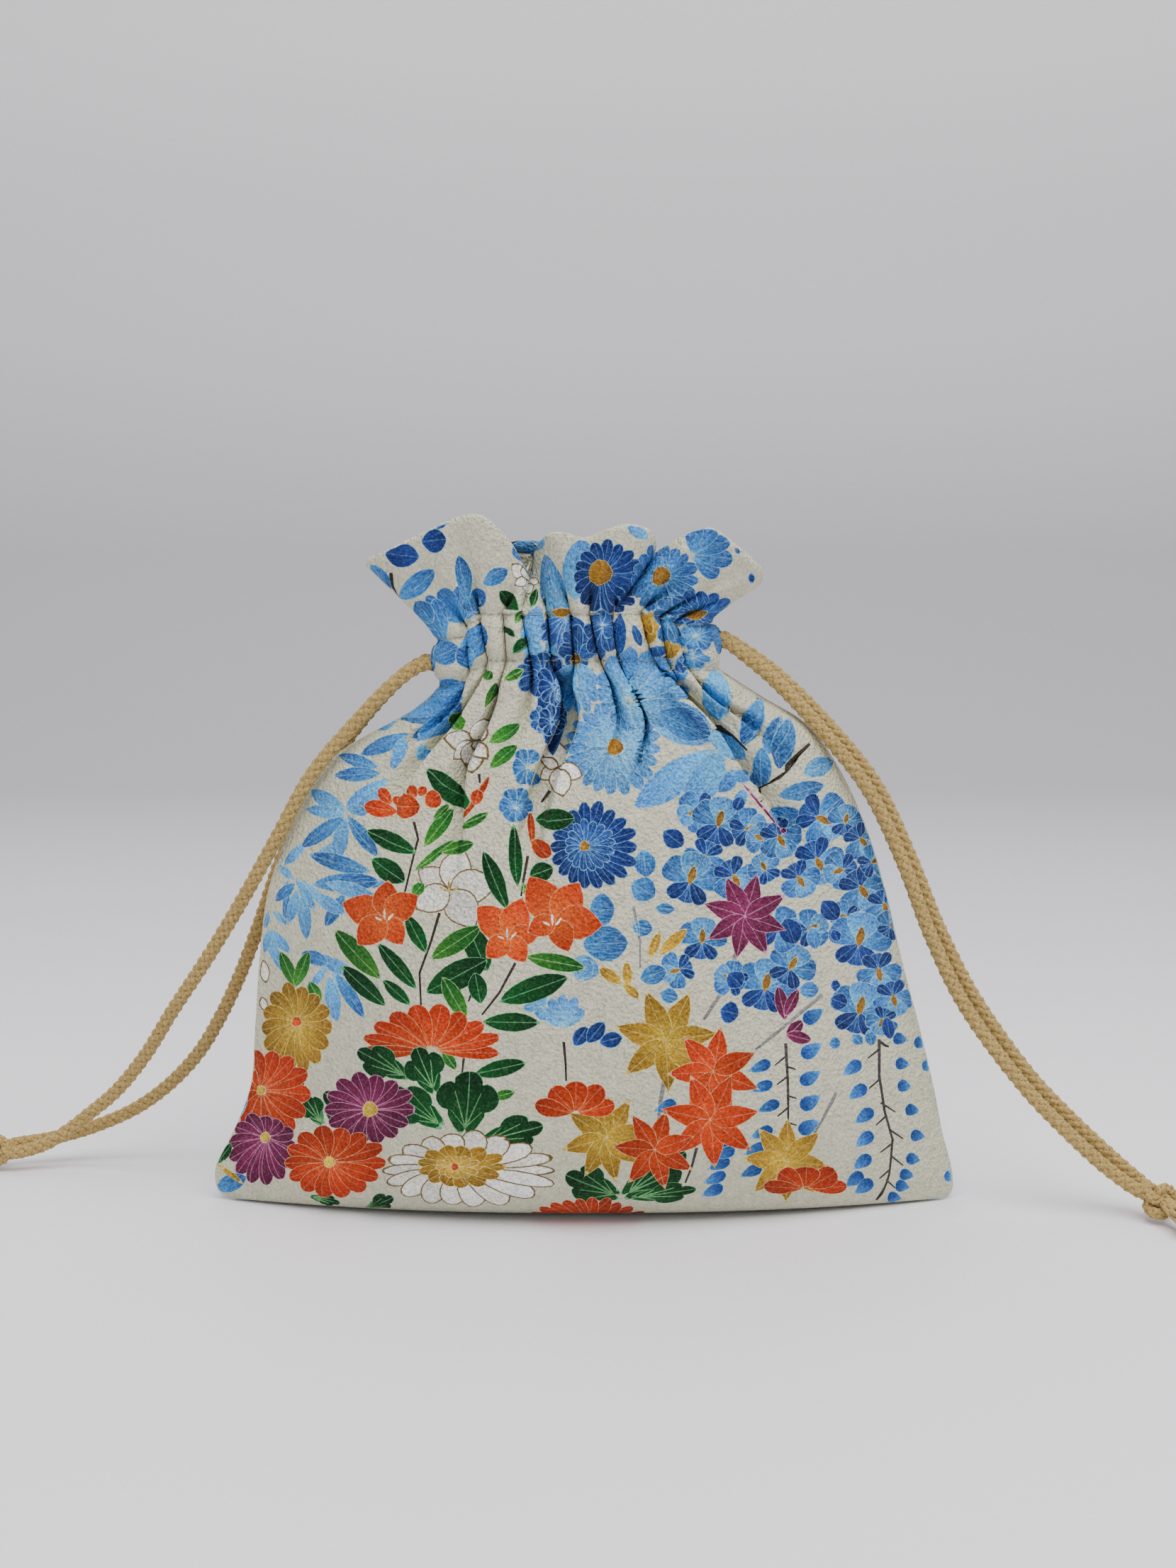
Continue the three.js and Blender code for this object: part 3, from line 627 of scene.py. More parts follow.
# Each motif: kind, ink, and its places on the finished front as they fall on the seam plane (x, z).
PRINT = [
    ("blade", "mist", (-61.5, 87.4, -52.5, 86.9, 3.1)),
    ("blade", "haze_blue", (-65.3, 85, -54.5, 82.3, 3.1), (-76.3, 88.1, -68, 81.2, 2.8)),
    ("blade", "mist", (-76.3, 88.4, -71.4, 79.2, 2.7)),
    ("blade", "sky", (-78.7, 88.4, -79.6, 75.4, 2)),
    ("blade", "mist", (-68.6, 64.7, -72.9, 58.8, 2.5)),
    ("blade", "haze_blue", (-67.3, 63.7, -61.9, 54.3, 2.8)),
    ("blade", "sky", (-69.9, 67.8, -61.2, 60.9, 2.8)),
    ("blade", "mist", (-73.5, 98, -79.6, 91.8, 2.7)),
    ("blade", "haze_blue", (-71.5, 93.9, -64.1, 98, 2.7), (-82.9, 79.5, -78.6, 75.7, 2)),
    ("blade", "mist", (-83.9, 79.5, -85, 74.7, 1.7)),
    ("twig", "haze", (1.3, 41.5, 70, 38, 59, 32.3, 49.9), (1.3, 22.1, 34.3, 20.7, 26.9, 19.9, 19.4),
     (1.1, 64, 56.8, 56, 49.9, 46.2, 41.6), (0.9, 68.1, 29.6, 64.5, 22.2, 60.5, 15.3),
     (0.8, 13.4, 80.8, 15.2, 70.9, 15.2, 64.1)),
    ("blade", "sky", (-32.4, 132.6, -49.1, 131.7, 5.6), (-31.9, 131.3, -45.2, 125.4, 4.5),
     (-46, 126.9, -58.9, 121.3, 4.2), (-54.1, 118, -64.8, 121.3, 3.6), (-53.7, 116.5, -66, 115.8, 4)),
    ("blade", "mist", (-46.9, 126.2, -50.6, 117.4, 4), (-41.8, 124.2, -43.3, 119.3, 2.7),
     (-49.1, 131.2, -54.8, 128.2, 3.3), (-51.5, 114.9, -63.1, 107.3, 4.2),
     (-52.4, 111.8, -60.4, 106.4, 3.6), (-63.1, 105.8, -72.3, 112, 4.7),
     (-63.1, 105.3, -73.7, 106.9, 3.6), (-63.1, 104.6, -65.9, 92.5, 4.3),
     (-63.1, 107.3, -56.9, 105.8, 3.1)),
    ("blade", "sky", (-63.4, 104.9, -74.9, 96.6, 4.2), (-62.6, 105.1, -54.6, 94.1, 4.2),
     (-56.7, 90, -73, 94.8, 4.7), (-72.2, 86.7, -54, 87.6, 5.4), (-63.6, 84.2, -68.9, 75.2, 3.8),
     (-76.7, 87.1, -82.1, 82.2, 3.1)),
    ("blade", "mist", (-68.7, 87.1, -55.4, 83.3, 4.2), (-74.8, 84.4, -73.8, 71.6, 3.6),
     (-76, 85.3, -78.6, 76.1, 3.1), (-77.1, 88, -81, 91.8, 2.4), (-72.3, 84.4, -63.5, 78.6, 3.8),
     (-84.2, 74.7, -78.3, 68.1, 3.1), (-84.5, 73.1, -80.5, 63.1, 2.7), (-83.6, 74.5, -85.2, 68.1, 2.4),
     (-68.2, 61.9, -66.2, 49, 4.2), (-61.9, 62.7, -69.9, 66.3, 4)),
    ("blade", "sky", (-68.1, 65.2, -75.4, 68.3, 4), (-66.4, 62.7, -58.7, 50.3, 3.8)),
    ("fan", "sky", (-14.8, 118, -14.8, 118, 4.2, 5.4, 60, 300, 5),
     (-17.8, 107.3, -18, 108.2, 4.7, 4.7, 0, 300, 6)),
    ("blade", "mist", (34.4, 122.4, 13.6, 107.3, 9), (36.8, 122, 27.7, 106.7, 8.9)),
    ("blade", "sky", (41.5, 117.4, 35.8, 111.3, 4.3), (42.9, 112.2, 40.3, 106.9, 3.6)),
    ("blade", "mist", (15.9, 134.8, 34.4, 125.1, 10.8), (34.2, 144.1, 35.7, 130, 8.1),
     (32.2, 127.8, 42.8, 119.8, 5.6), (58, 116.2, 66.2, 119.8, 5.4)),
    ("blade", "sky", (47, 136.6, 41.7, 123.3, 6), (48.1, 121.1, 51.9, 131.7, 5.4),
     (54.1, 131.3, 51.6, 117.4, 6.5), (47, 123.3, 47.1, 112.2, 5.6), (51.3, 110, 63.9, 113.3, 5.1),
     (48.7, 106, 59.8, 102.9, 6), (39.3, 116.2, 44.6, 114.9, 3.6)),
    ("twig", "wood", (0.8, 35.7, 128.6, 39.2, 126, 43, 122.2),
     (0.8, 59.7, 124.2, 53.4, 116.7, 46.9, 108.7)),
    ("floret", "sky", (30.6, 106.4, 5.6, 200), (35.9, 102.9, 7.1, 75), (43.4, 101.5, 5.4, 20),
     (32.4, 94.3, 5.4, 250), (28.5, 87.6, 7.6, 75), (40, 88.9, 6, -60), (48.4, 90.7, 4.5, 120),
     (47.4, 98.8, 4.3, 150), (62.4, 104.6, 7.2, -25), (69.5, 103.3, 4.7, 80), (73.6, 98.8, 5.1, -50),
     (62.1, 93.4, 6.7, -65), (51.9, 99.3, 5.6, -60), (57.3, 88.5, 5.4, -60), (68.8, 90.7, 5.1, 200),
     (73.8, 85.8, 6.5, -55), (80.1, 81.3, 5.2, -70), (76.8, 92.5, 4.5, 30), (69.9, 78.1, 4.2, 180),
     (73.6, 70.9, 8, 80), (82, 75.4, 4.2, 60), (78.9, 63.6, 5.8, -80), (48.7, 58.6, 7.8, 78),
     (55.4, 64.1, 6.3, 60), (52.1, 74.5, 6, 0), (60.2, 74.5, 5.2, 30), (73.9, 52.2, 7.8, 75),
     (82.9, 56.3, 5.4, -75), (31.7, 71.3, 6.3, 85), (25.5, 63.6, 4.9, 200), (39.8, 60.9, 4.9, 150),
     (80.2, 49.9, 4.3, 250)),
    ("blade", "deep", (21.3, 101.1, 26.6, 97, 5.4), (42, 110.4, 40.3, 106.4, 3.6),
     (63.6, 82.2, 67.9, 77.2, 5.4), (66.4, 74.5, 68.2, 71.3, 3.1), (66.2, 59, 68.8, 59.5, 3.6),
     (66.2, 55.8, 70.7, 54, 5), (36.7, 52.6, 41.7, 51.3, 6.3), (38.9, 62.7, 42.5, 59, 5.4),
     (53.9, 77.7, 56.6, 70.4, 6.3), (81.1, 50.8, 82.5, 44.4, 3.6), (85, 79.9, 82.4, 74.5, 2.7)),
    ("blade", "sky", (16, 96.1, 16.9, 88.5, 6), (12.9, 87.1, 19.2, 83.5, 6.9),
     (13, 75.4, 18.7, 74.5, 4.7), (15.2, 60.9, 22.4, 63.6, 5.6), (20.6, 57.2, 25.5, 55.8, 4.3),
     (19.2, 80.4, 24.5, 79.9, 3.3), (65.9, 43.5, 69.1, 43.5, 3.6), (72.2, 45.8, 74.9, 43, 3.1),
     (76.6, 47.1, 77.6, 42.6, 3.3), (57.7, 58.1, 63.1, 58.1, 4.7), (61, 75.4, 62, 69.1, 4)),
    ("fan", "mist", (-5.7, 47.1, -5.7, 50.8, 6, 6.3, 20, 160, 5),
     (-10.2, 53.1, -11.5, 53.5, 4.5, 3.3, 100, 260, 3)),
    ("blade", "deep", (-2.6, 42.6, 0.9, 48.1, 4.3), (0.9, 43.5, 5.4, 49.4, 4.5),
     (4.1, 43.5, 10.4, 45.3, 4.5)),
    ("blade", "sky", (1.4, 79.9, 8.5, 79.9, 9), (-0.4, 70.4, 12.1, 70.9, 9.9)),
    ("blade", "mist", (-4, 65.4, 4.1, 62.7, 7.2), (-2.2, 60.9, 1.8, 66.3, 5.4)),
    ("twig", "wood", (0.8, -5.5, 43.9, -5, 37.9, -4.8, 32.8)),
    ("mum", "mist", (8.4, 123.3, 7.2, 122.9, 13.4, 12.8, 20, 0)),
    ("mum", "haze_blue", (8.4, 123.3, 8, 123.1, 8.3, 8.1, 20, 8)),
    ("dot", "almond", (8.4, 123.3, 2.2)),
    ("mum", "deep", (0.5, 97, 2.4, 96.6, 12.1, 12.1, 18, 0)),
    ("mum", "blue", (0.5, 97, 1.6, 96.9, 7.2, 7.2, 16, 10)),
    ("dot", "almond", (0.5, 97, 1.4)),
    ("mum", "mist", (11.6, 135.1, 15.3, 138, 12.9, 11.4, 14, 0)),
    ("blade", "sky", (19.8, 132.8, 33.8, 126.2, 8.3)),
    ("bell", "white",
     (-28.9, 124.7, -36.4, 125.5, -33.8, 120.2, -29.4, 116.7, -25.4, 120.2, -25.8, 130.4),
     (-6.9, 118, -11.3, 114.9, -8.2, 125.5, -0.7, 115.8, -5.6, 110.4, -10.9, 120.2)),
    ("twig", "wood", (0.8, -27.6, 116.2, -27.4, 113.8), (0.8, -9.1, 111.8, -11.3, 108.7)),
    ("blade", "white", (-85.5, 66.3, -85, 59.9, 2.7), (-86.2, 56.3, -85.2, 52.2, 2.4)),
    ("bell", "white", (-35.7, 85.3, -43.6, 90.7, -32.2, 95.9, -23.6, 87.1, -29.2, 75.4, -44.6, 80.4)),
    ("blade", "almond", (-35.7, 84.4, -38.7, 86.4, 0.6), (-35.7, 84.4, -36, 88.2, 0.6),
     (-35.4, 84.4, -33.3, 86.2, 0.6)),
    ("twig", "wood", (0.8, -45, 103.5, -43.9, 98.8, -47.6, 84.4),
     (0.8, -38.4, 79, -40.9, 70.8, -43.9, 62.7, -43.5, 52.6),
     (0.8, -18.3, 65.4, -22.7, 57.2, -27.3, 51.2), (0.8, -29.4, 59, -30.9, 54.9),
     (0.8, -14.9, 94.3, -16.7, 83.5), (0.8, -75.8, 33.8, -75.4, 28.7), (0.8, -41, 39.3, -40.8, 34.2),
     (0.8, -32.2, 39.8, -32.7, 35.2)),
    ("blade", "green", (-29.6, 106.7, -41.6, 117.6, 6.1), (-44.4, 95.2, -57.7, 101.2, 5.1),
     (-56.3, 93.6, -47.5, 87.3, 6), (-17.6, 86, -18.6, 103.1, 3.8), (-20.3, 79.9, -26.7, 95.7, 4.9),
     (-12.9, 104, -2.5, 104.4, 6), (-14.5, 88.9, -8.1, 91.2, 5.4), (-53.1, 53.7, -64.8, 64.7, 5.1),
     (-44.8, 58.3, -54.9, 70.7, 4.5), (-25.8, 63.1, -30.8, 75.6, 7.1), (-42.2, 57.4, -25.7, 66.3, 7.8),
     (-27.6, 54.3, -29.1, 62.8, 5.1), (-22.7, 54.9, -4.3, 61.6, 6.9), (-27, 49.4, -11.8, 49.1, 5.4),
     (-42, 68.1, -47.3, 78.6, 4.3), (-46.4, 54, -53.7, 60.8, 3.6), (-29.5, 34.7, -15.4, 37.9, 4.9)),
    ("blade", "fresh", (-24.9, 124.5, -16.6, 129.3, 4.2), (-24.8, 117.7, -17.5, 123.9, 3.6),
     (-42.4, 97, -34.1, 107, 4.3), (-45.1, 90.3, -33.9, 98.8, 2.4), (-32.6, 101.5, -25.2, 106, 2.7),
     (-39.7, 104, -35.2, 108.2, 2.2), (-37.5, 95.2, -29.1, 97.9, 3.6), (-54.4, 61, -66.4, 74.5, 5.8),
     (-40.9, 66.5, -27.5, 75.4, 5.6), (-31.5, 50.1, -37.8, 61.6, 4.9), (-15.5, 67.2, 0.4, 64, 4.9),
     (-38, 41.6, -34.3, 36.3, 3.1), (-24.8, 28.2, -18.5, 29.8, 3.1), (-77, 58.8, -81, 68.6, 3.6),
     (-77.2, 58.8, -73.4, 68.6, 3.6), (-70.5, 54.6, -73.4, 60.4, 3.3), (-15, 83.7, -16.5, 87.1, 2),
     (-45.6, 83.5, -42.5, 87.1, 3.3)),
    ("blade", "orange", (-49.4, 106, -58.2, 107.8, 4.7), (-50.7, 108.2, -54, 112.4, 3.6),
     (-49.3, 107.8, -49.3, 110.4, 2.7), (-41.8, 107.8, -37.8, 110.9, 5.1),
     (-44.3, 110, -46.2, 113.1, 3.1), (-43.6, 110.4, -41.8, 112.9, 2.7)),
    ("dot", "orange", (-46.6, 107.6, 3.4)),
    ("blade", "orange", (-32, 104, -24.5, 116, 2), (-28.8, 107.8, -27.7, 112.2, 3.6),
     (-13.6, 96.6, -14.1, 106, 2), (-13.8, 98.8, -9, 94, 4.5)),
    ("bell", "bell", (-53, 77.9, -63.6, 81.5, -52, 87.3, -44.6, 83.5, -48.6, 70.7, -60, 70.7),
     (-20.1, 72.7, -27.9, 80.4, -16.5, 82.4, -12.3, 73.1, -15.8, 65.9, -25.7, 67),
     (-7.6, 77.2, -14.1, 88.2, -1.2, 86.6, 4.3, 75.6, -4.3, 69, -14.7, 73.9)),
    ("blade", "stamen", (-53.7, 76.9, -55.7, 78, 0.6), (-53, 77.1, -53.1, 80.2, 0.6),
     (-52.3, 76.9, -50.7, 78.9, 0.6), (-21.1, 71.8, -23, 72.8, 0.6), (-20.4, 71.9, -20.5, 75, 0.6),
     (-19.6, 71.8, -18, 73.8, 0.6), (-9, 75.6, -11, 76.7, 0.6), (-8.3, 75.7, -8.5, 78.8, 0.6),
     (-7.6, 75.6, -6, 77.6, 0.6)),
    ("fan", "orange", (-40.9, 41.4, -41.8, 42, 19.2, 11.8, -6, 186, 10)),
    ("lobed", "green", (-47.1, 34, -60, 40.9, 7.4), (-40.1, 29.6, -44.7, 41.6, 9),
     (-38, 20.2, -51.1, 30.1, 8.3), (-32.3, 18.3, -30.7, 34.7, 13.6), (-27.8, 15.9, -12, 20.2, 7.8),
     (-70.5, 20.8, -75.2, 28.7, 5.4), (-57.3, 17.4, -69.2, 29.1, 7.6), (-59.2, -3.5, -52, 0.3, 4.5),
     (-74.1, 0.8, -66.5, -1.1, 2.7), (9.7, 0.8, -4.2, 6.4, 8.7), (10.9, 0.8, 26.7, 12.5, 9.9),
     (13.2, 0.3, 29.6, 2.7, 4.5)),
    ("mum", "gold", (-76.9, 49.4, -77.2, 47.1, 9.8, 12.8, 14, 0)),
    ("dot", "orange", (-76.9, 49.4, 1.4)),
    ("mum", "orange", (-86.9, 30.4, -84.2, 29.1, 10.8, 12.8, 13, 0)),
    ("dot", "yellow", (-86.9, 30.4, 1.3)),
    ("mum", "plum", (-57.8, 25, -58.1, 25, 12.7, 10.1, 14, 0)),
    ("dot", "yellow", (-57.6, 25, 2.2)),
    ("mum", "plum", (-85.9, 17.4, -87, 13.6, 9.6, 10.3, 13, 0)),
    ("dot", "yellow", (-86, 17.4, 1.5)),
    ("mum", "orange", (-68.8, 10.4, -67.6, 10.1, 14.3, 10.3, 14, 0)),
    ("dot", "yellow", (-68.8, 10.4, 1.6)),
    ("mum", "white", (-34.9, 9, -31.8, 7.9, 24.1, 10.3, 18, 0)),
    ("mum", "gold", (-34.9, 9, -33.3, 9, 12.5, 5.8, 13, 0)),
    ("mum", "yellow", (-34.9, 9, -34, 8.8, 6.5, 3.1, 12, 0)),
    ("dot", "orange", (-34.9, 9, 1.1)),
    ("fan", "orange", (1.4, -8.6, 0.5, -6.7, 17.2, 7.1, 10, 170, 12)),
    ("twig", "ink", (0.85, 54.3, 43.5, 55, 33.3, 55.2, 25.9, 55.1, 19.3),
     (0.85, 79.4, 44.4, 79.6, 34.3, 81.1, 25, 83.5, 16.7, 82.8, 7.3, 79.3, -0.3),
     (0.85, 30.7, 14.3, 29.4, 9.2, 27.6, 4.5), (0.6, 54.3, 39.8, 51.5, 37.4),
     (0.6, 54.9, 34.3, 52.1, 31.9), (0.6, 55.2, 25.5, 52.4, 23.1), (0.6, 55.1, 19.4, 52.3, 17),
     (0.6, 54.7, 37, 57.1, 36.3), (0.6, 55.2, 28.7, 57.5, 28), (0.6, 55.3, 21.3, 57.6, 20.6),
     (0.6, 79.4, 41.6, 76.4, 39.1), (0.6, 79.6, 33.3, 76.9, 30.8), (0.6, 80.1, 26.9, 84.2, 24.3),
     (0.6, 81.6, 23.2, 78.9, 20.6), (0.6, 82.7, 19.4, 86.4, 16.8), (0.6, 83.5, 15.7, 80.3, 13.1),
     (0.6, 83.4, 12, 86.5, 9.4), (0.6, 82.9, 8.3, 80.1, 5.7), (0.6, 81.9, 5.5, 84.6, 2.9),
     (0.85, 79.4, 43.9, 81.2, 42.6, 82.1, 42.4)),
    ("blade", "drop", (58.6, 39.8, 64.2, 43.5, 4.2), (58.4, 32.2, 63.9, 35.9, 4.2),
     (58.5, 25.3, 64, 29, 4.2), (58.2, 18.5, 63.7, 22.2, 4.2), (59, 49.3, 64.5, 52.9, 4.2),
     (50.4, 38.3, 44.3, 35.6, 3.4), (51, 32.6, 44.9, 29.8, 3.4), (52.9, 27.1, 46.8, 24.3, 3.4),
     (51.2, 19.8, 45, 17, 3.4), (49.4, 15.2, 43.3, 12.4, 3.4), (48.4, 9.1, 42.3, 6.3, 3.4),
     (25.1, 27.1, 19, 24.3, 3.4), (39.8, 14.7, 33.7, 11.9, 3.4), (39.7, 11, 33.6, 8.2, 3.4),
     (38.6, 7.2, 32.5, 4.3, 3.4), (37.9, 3.6, 31.8, 0.8, 3.4), (41, 14.1, 34.9, 11.3, 3.4),
     (74.6, 38.3, 69.8, 34.4, 3.8), (76.2, 31.7, 71.4, 27.8, 3.8), (78.1, 25, 73.3, 21.1, 3.8),
     (78.2, 18.5, 73.4, 14.6, 3.8), (77.7, 12.2, 72.9, 8.3, 3.8), (75.7, 7.3, 70.9, 3.4, 3.8),
     (78.3, 5.3, 73.4, 1.4, 3.8), (83.1, 44.9, 87.1, 44.2, 3.6), (83.8, 38, 87.8, 37.3, 3.6),
     (84.5, 31.9, 88.4, 31.1, 3.6), (86.7, 25.2, 90.7, 24.5, 3.6), (88.3, 18.1, 92.3, 17.4, 3.6),
     (87.2, 11.6, 91.2, 10.9, 3.6), (85.5, 7.2, 89.5, 6.4, 3.6), (84.4, 4, 88.4, 3.2, 3.6),
     (82.3, 0.6, 86.3, -0.1, 3.6), (88.7, 44, 92.7, 43.3, 3.6), (91, 37.6, 95, 36.8, 3.6),
     (97.6, 6.8, 101.6, 6, 3.6)),
    ("maple", "plum", (43.2, 78.1, 11, 75, 8)),
    ("maple", "gold", (22.2, 44.2, 13.6, 64, 7)),
    ("blade", "gold", (10.1, 59.8, 3.9, 64.1, 3.3), (11.9, 58.9, 11.4, 65.9, 3.1),
     (10.3, 59.8, 15.2, 55.8, 2.7), (17.6, 66.5, 20.5, 74, 2.7), (20.3, 67.7, 27.7, 74.7, 3.4)),
    ("maple", "orange", (35.1, 35.4, 11.9, 82, 7)),
    ("maple", "gold", (6.1, 17.1, 11.6, 58, 8)),
    ("maple", "orange", (34.3, 22, 12.7, 66, 7)),
    ("fan", "orange", (-2.2, 23.6, -2.2, 25, 10.7, 8, 10, 170, 5)),
    ("maple", "orange", (19.4, 13.7, 10.7, 75, 7)),
    ("maple", "gold", (54.7, 10.6, 11, 88, 8)),
    ("fan", "orange", (60.2, 2.9, 60.4, 3.6, 11, 5.6, 0, 180, 5)),
    ("blade", "plum", (54.2, 49.7, 52.1, 59.2, 3.6), (54, 50.8, 57.5, 58.3, 3.3),
     (54.5, 45.1, 58.9, 49.7, 3.6), (54.4, 46, 61.3, 44.2, 3.6)),
    ("fan", "sky", (-30.9, 155.6, -32.3, 159.3, 11.4, 6.1, 60, 175, 5),
     (-36, 150.1, -39.6, 155.6, 5.3, 6.8, 80, 190, 3)),
    ("blade", "deep", (-42.8, 172.7, -51.9, 174.2, 6.8), (-42.2, 176.7, -35.7, 177.5, 6.8),
     (-38.7, 180.4, -35.4, 181.9, 1.7)),
    ("blade", "sky", (-48.4, 161.8, -38.8, 169.5, 5.6), (-55.6, 170.9, -50.5, 163.7, 4.5),
     (-54.2, 163.7, -47, 157.1, 3), (-30.1, 161.5, -32.3, 173.3, 4.2),
     (-26.4, 165.8, -19.4, 169.5, 4.5), (-30.1, 162.9, -28.6, 158.6, 5.3),
     (-39.6, 155.6, -44, 161.5, 5.3), (-41.9, 154.2, -38.2, 150.1, 4.5)),
    ("twig", "wood", (0.9, -50.3, 168.8, -49.8, 165.1, -48.5, 161.3)),
    ("blade", "sky", (-39.7, 146.1, -32.4, 149.8, 6.8), (-30.9, 145.4, -26.5, 155.6, 6.8),
     (-29.5, 143.9, -32.4, 149.8, 5.3), (-42, 136.5, -31, 139.5, 6.1), (-48.7, 132.1, -31, 136.5, 5.3),
     (-44.4, 124.7, -31.8, 135.1, 4.5)),
    ("blade", "mist", (-14.8, 146.8, -11.8, 160.7, 6.1), (-10.4, 146.8, -14.8, 151.2, 4.5)),
    ("blade", "deep", (-8.4, 152, -8.2, 121, 8)),
    ("fan", "blue", (-10.4, 142.4, -11.1, 142.4, 6.8, 6.1, 0, 340, 9),
     (-11.2, 130.6, -11.9, 130.6, 2.3, 3.8, 90, 280, 4)),
    ("fan", "deep", (-7.5, 139.5, -7.5, 140.2, 4.5, 6.8, 0, 340, 10),
     (-8.2, 129.9, -8.2, 130.6, 3.8, 4.5, 0, 340, 8)),
    ("bell", "white",
     (-14.7, 167.3, -18.3, 170.9, -14.7, 171.3, -11.8, 166.6, -14, 163.7, -17.6, 165.5)),
    ("blade", "green", (-16.9, 159.3, -21.7, 164, 3.8), (-13.6, 160, -12.2, 165.1, 2.3),
     (-18.5, 147.6, -14.8, 152, 3), (-20.6, 154.9, -17.7, 152, 1.8)),
    ("blade", "fresh", (-17.7, 155.6, -16.4, 159.3, 1.7), (-20.7, 141, -15.5, 143.9, 3),
     (-25.9, 133.6, -22.9, 140.2, 2.6), (-32.5, 127.7, -34, 132.1, 4.5),
     (-25.8, 141, -24.3, 143.5, 2.6)),
    ("blade", "mist", (-4.5, 149.8, -10.3, 173.8, 6.8), (-2.3, 161.5, -0.1, 177.8, 9.1),
     (-8.9, 146.8, -4.5, 155.6, 6.1), (-11, 178.9, -13.2, 174.6, 3.8), (17, 177.5, 11.5, 181.8, 3.8)),
    ("blade", "sky", (-14.7, 171.7, -17.6, 176.7, 4.5)),
    ("dot", "almond", (-14.1, 177.5, 1.5)),
    ("mum", "deep", (4.6, 168.8, 6.5, 167.3, 9.8, 9.8, 16, 0)),
    ("dot", "almond", (4.6, 168.8, 3.3)),
    ("fan", "blue", (-4.5, 158.2, -5.2, 154.2, 6.1, 6.8, 180, 360, 8)),
    ("blade", "almond", (-8.5, 158.6, -3.4, 158.6, 2.6)),
    ("fan", "blue", (-1.6, 146.1, -1.6, 149.8, 4.5, 6.1, 0, 360, 9)),
    ("fan", "mist", (-2, 146.1, -1.6, 139.5, 5.3, 8.3, 180, 360, 7)),
    ("dot", "almond", (-2.2, 146.3, 1.5)),
    ("fan", "blue", (5, 155.6, 4.6, 152.7, 3.8, 6.8, 0, 360, 9)),
    ("mum", "sky", (20.2, 167.9, 21.1, 166.6, 9.1, 9.8, 16, 0)),
    ("dot", "almond", (20.2, 167.9, 2.7)),
    ("fan", "sky", (28, 173.1, 31.6, 174.6, 7.6, 7.6, -60, 110, 5)),
    ("blade", "deep", (39.6, 175.6, 40.7, 173.7, 1.5), (43, 167.3, 44.8, 167.4, 3)),
    ("mum", "blue", (29.9, 157.8, 30.2, 159.3, 9.1, 5, 13, 0)),
    ("blade", "almond", (27.3, 157.5, 32.8, 158.6, 2.6)),
    ("blade", "gold", (17.8, 159.3, 17.5, 149.8, 4.2), (23.7, 153.4, 22.6, 146.1, 4.5),
     (15.3, 158.6, 17.8, 152.7, 3)),
    ("fan", "sky", (29.2, 152.7, 29.9, 152, 5.3, 3.8, 0, 360, 8),
     (22.6, 158.6, 22.6, 156.4, 3.8, 6.8, 60, 300, 5)),
    ("blade", "blue", (18.9, 149.8, 20.4, 146.8, 4.5), (24.8, 146.8, 26.3, 142.4, 3),
     (13.1, 155.6, 15.3, 149.8, 2.3)),
    ("fan", "sky", (28.5, 146.8, 29.2, 146.1, 4.5, 2.3, 0, 360, 7)),
    ("blade", "blue", (9.4, 146.8, 9.4, 158.6, 3.3)),
    ("blade", "sky", (-99.7, 2.6, -91.2, 6.4, 5)),
    ("blade", "gold", (-99.3, 10.1, -92.2, 4.3, 1.6)),
    ("blade", "green", (-99.3, 10.1, -95.1, 15.7, 3)),
    ("blade", "sky", (-90.7, 29.6, -93.1, 22.9, 2)),
    # The thin plum line below runs along the edge of the right overlapping fold: painted shadow of the
    # crease.
    ("blade", "plum", (41.5, 114.5, 52, 101.7, 0.9), (52, 101.7, 54.1, 100.4, 1.6)),
]


def blade(ink, start, end, width, root=0.9, tip=0.9):
    """A leaf or petal. Its half width at u along its axis is u^root * (1-u)^tip, scaled to width/2 at
    its widest, so a power under 1 gives a round end and one of 1 or more a pointed end."""
    start, end = np.asarray(start, float), np.asarray(end, float)
    u = 0.5 - 0.5 * np.cos(np.linspace(0, math.pi, 10))
    peak = root / (root + tip)
    half = (u / peak) ** root * ((1 - u) / (1 - peak)) ** tip * width / 2
    return leaf(ink, start, end, u, half)


def leaf(ink, start, end, u, half):
    """A shape along an axis, from its half widths at the places u."""
    axis = end - start
    across = np.array([-axis[1], axis[0]]) / max(np.hypot(*axis), 1e-6)
    middle = start + u[:, None] * axis
    left, right = middle + half[:, None] * across, middle - half[:, None] * across
    return {"ink": ink, "outline": np.concatenate([right, left[-2:0:-1]]), "spine": middle[2:-2:2],
            "axis": (start, end)}


def twig(ink, width, *places):
    """A thin line through its places, narrowing to six tenths of its width."""
    line = np.array(places, float).reshape(-1, 2)
    ahead = unit(np.gradient(line, axis=0))
    off = np.stack([-ahead[:, 1], ahead[:, 0]], 1) * width / 2 * np.linspace(1, 0.6, len(line))[:, None]
    return {"ink": ink, "outline": np.concatenate([line - off, (line + off)[::-1]]),
            "spine": line[:0], "axis": (line[0], line[-1])}


def around(degrees, rx, ry=None):
    """Places at those angles on an ellipse round (0, 0), or on a circle."""
    a = np.radians(degrees)
    return np.stack([rx * np.cos(a), (rx if ry is None else ry) * np.sin(a)], -1)


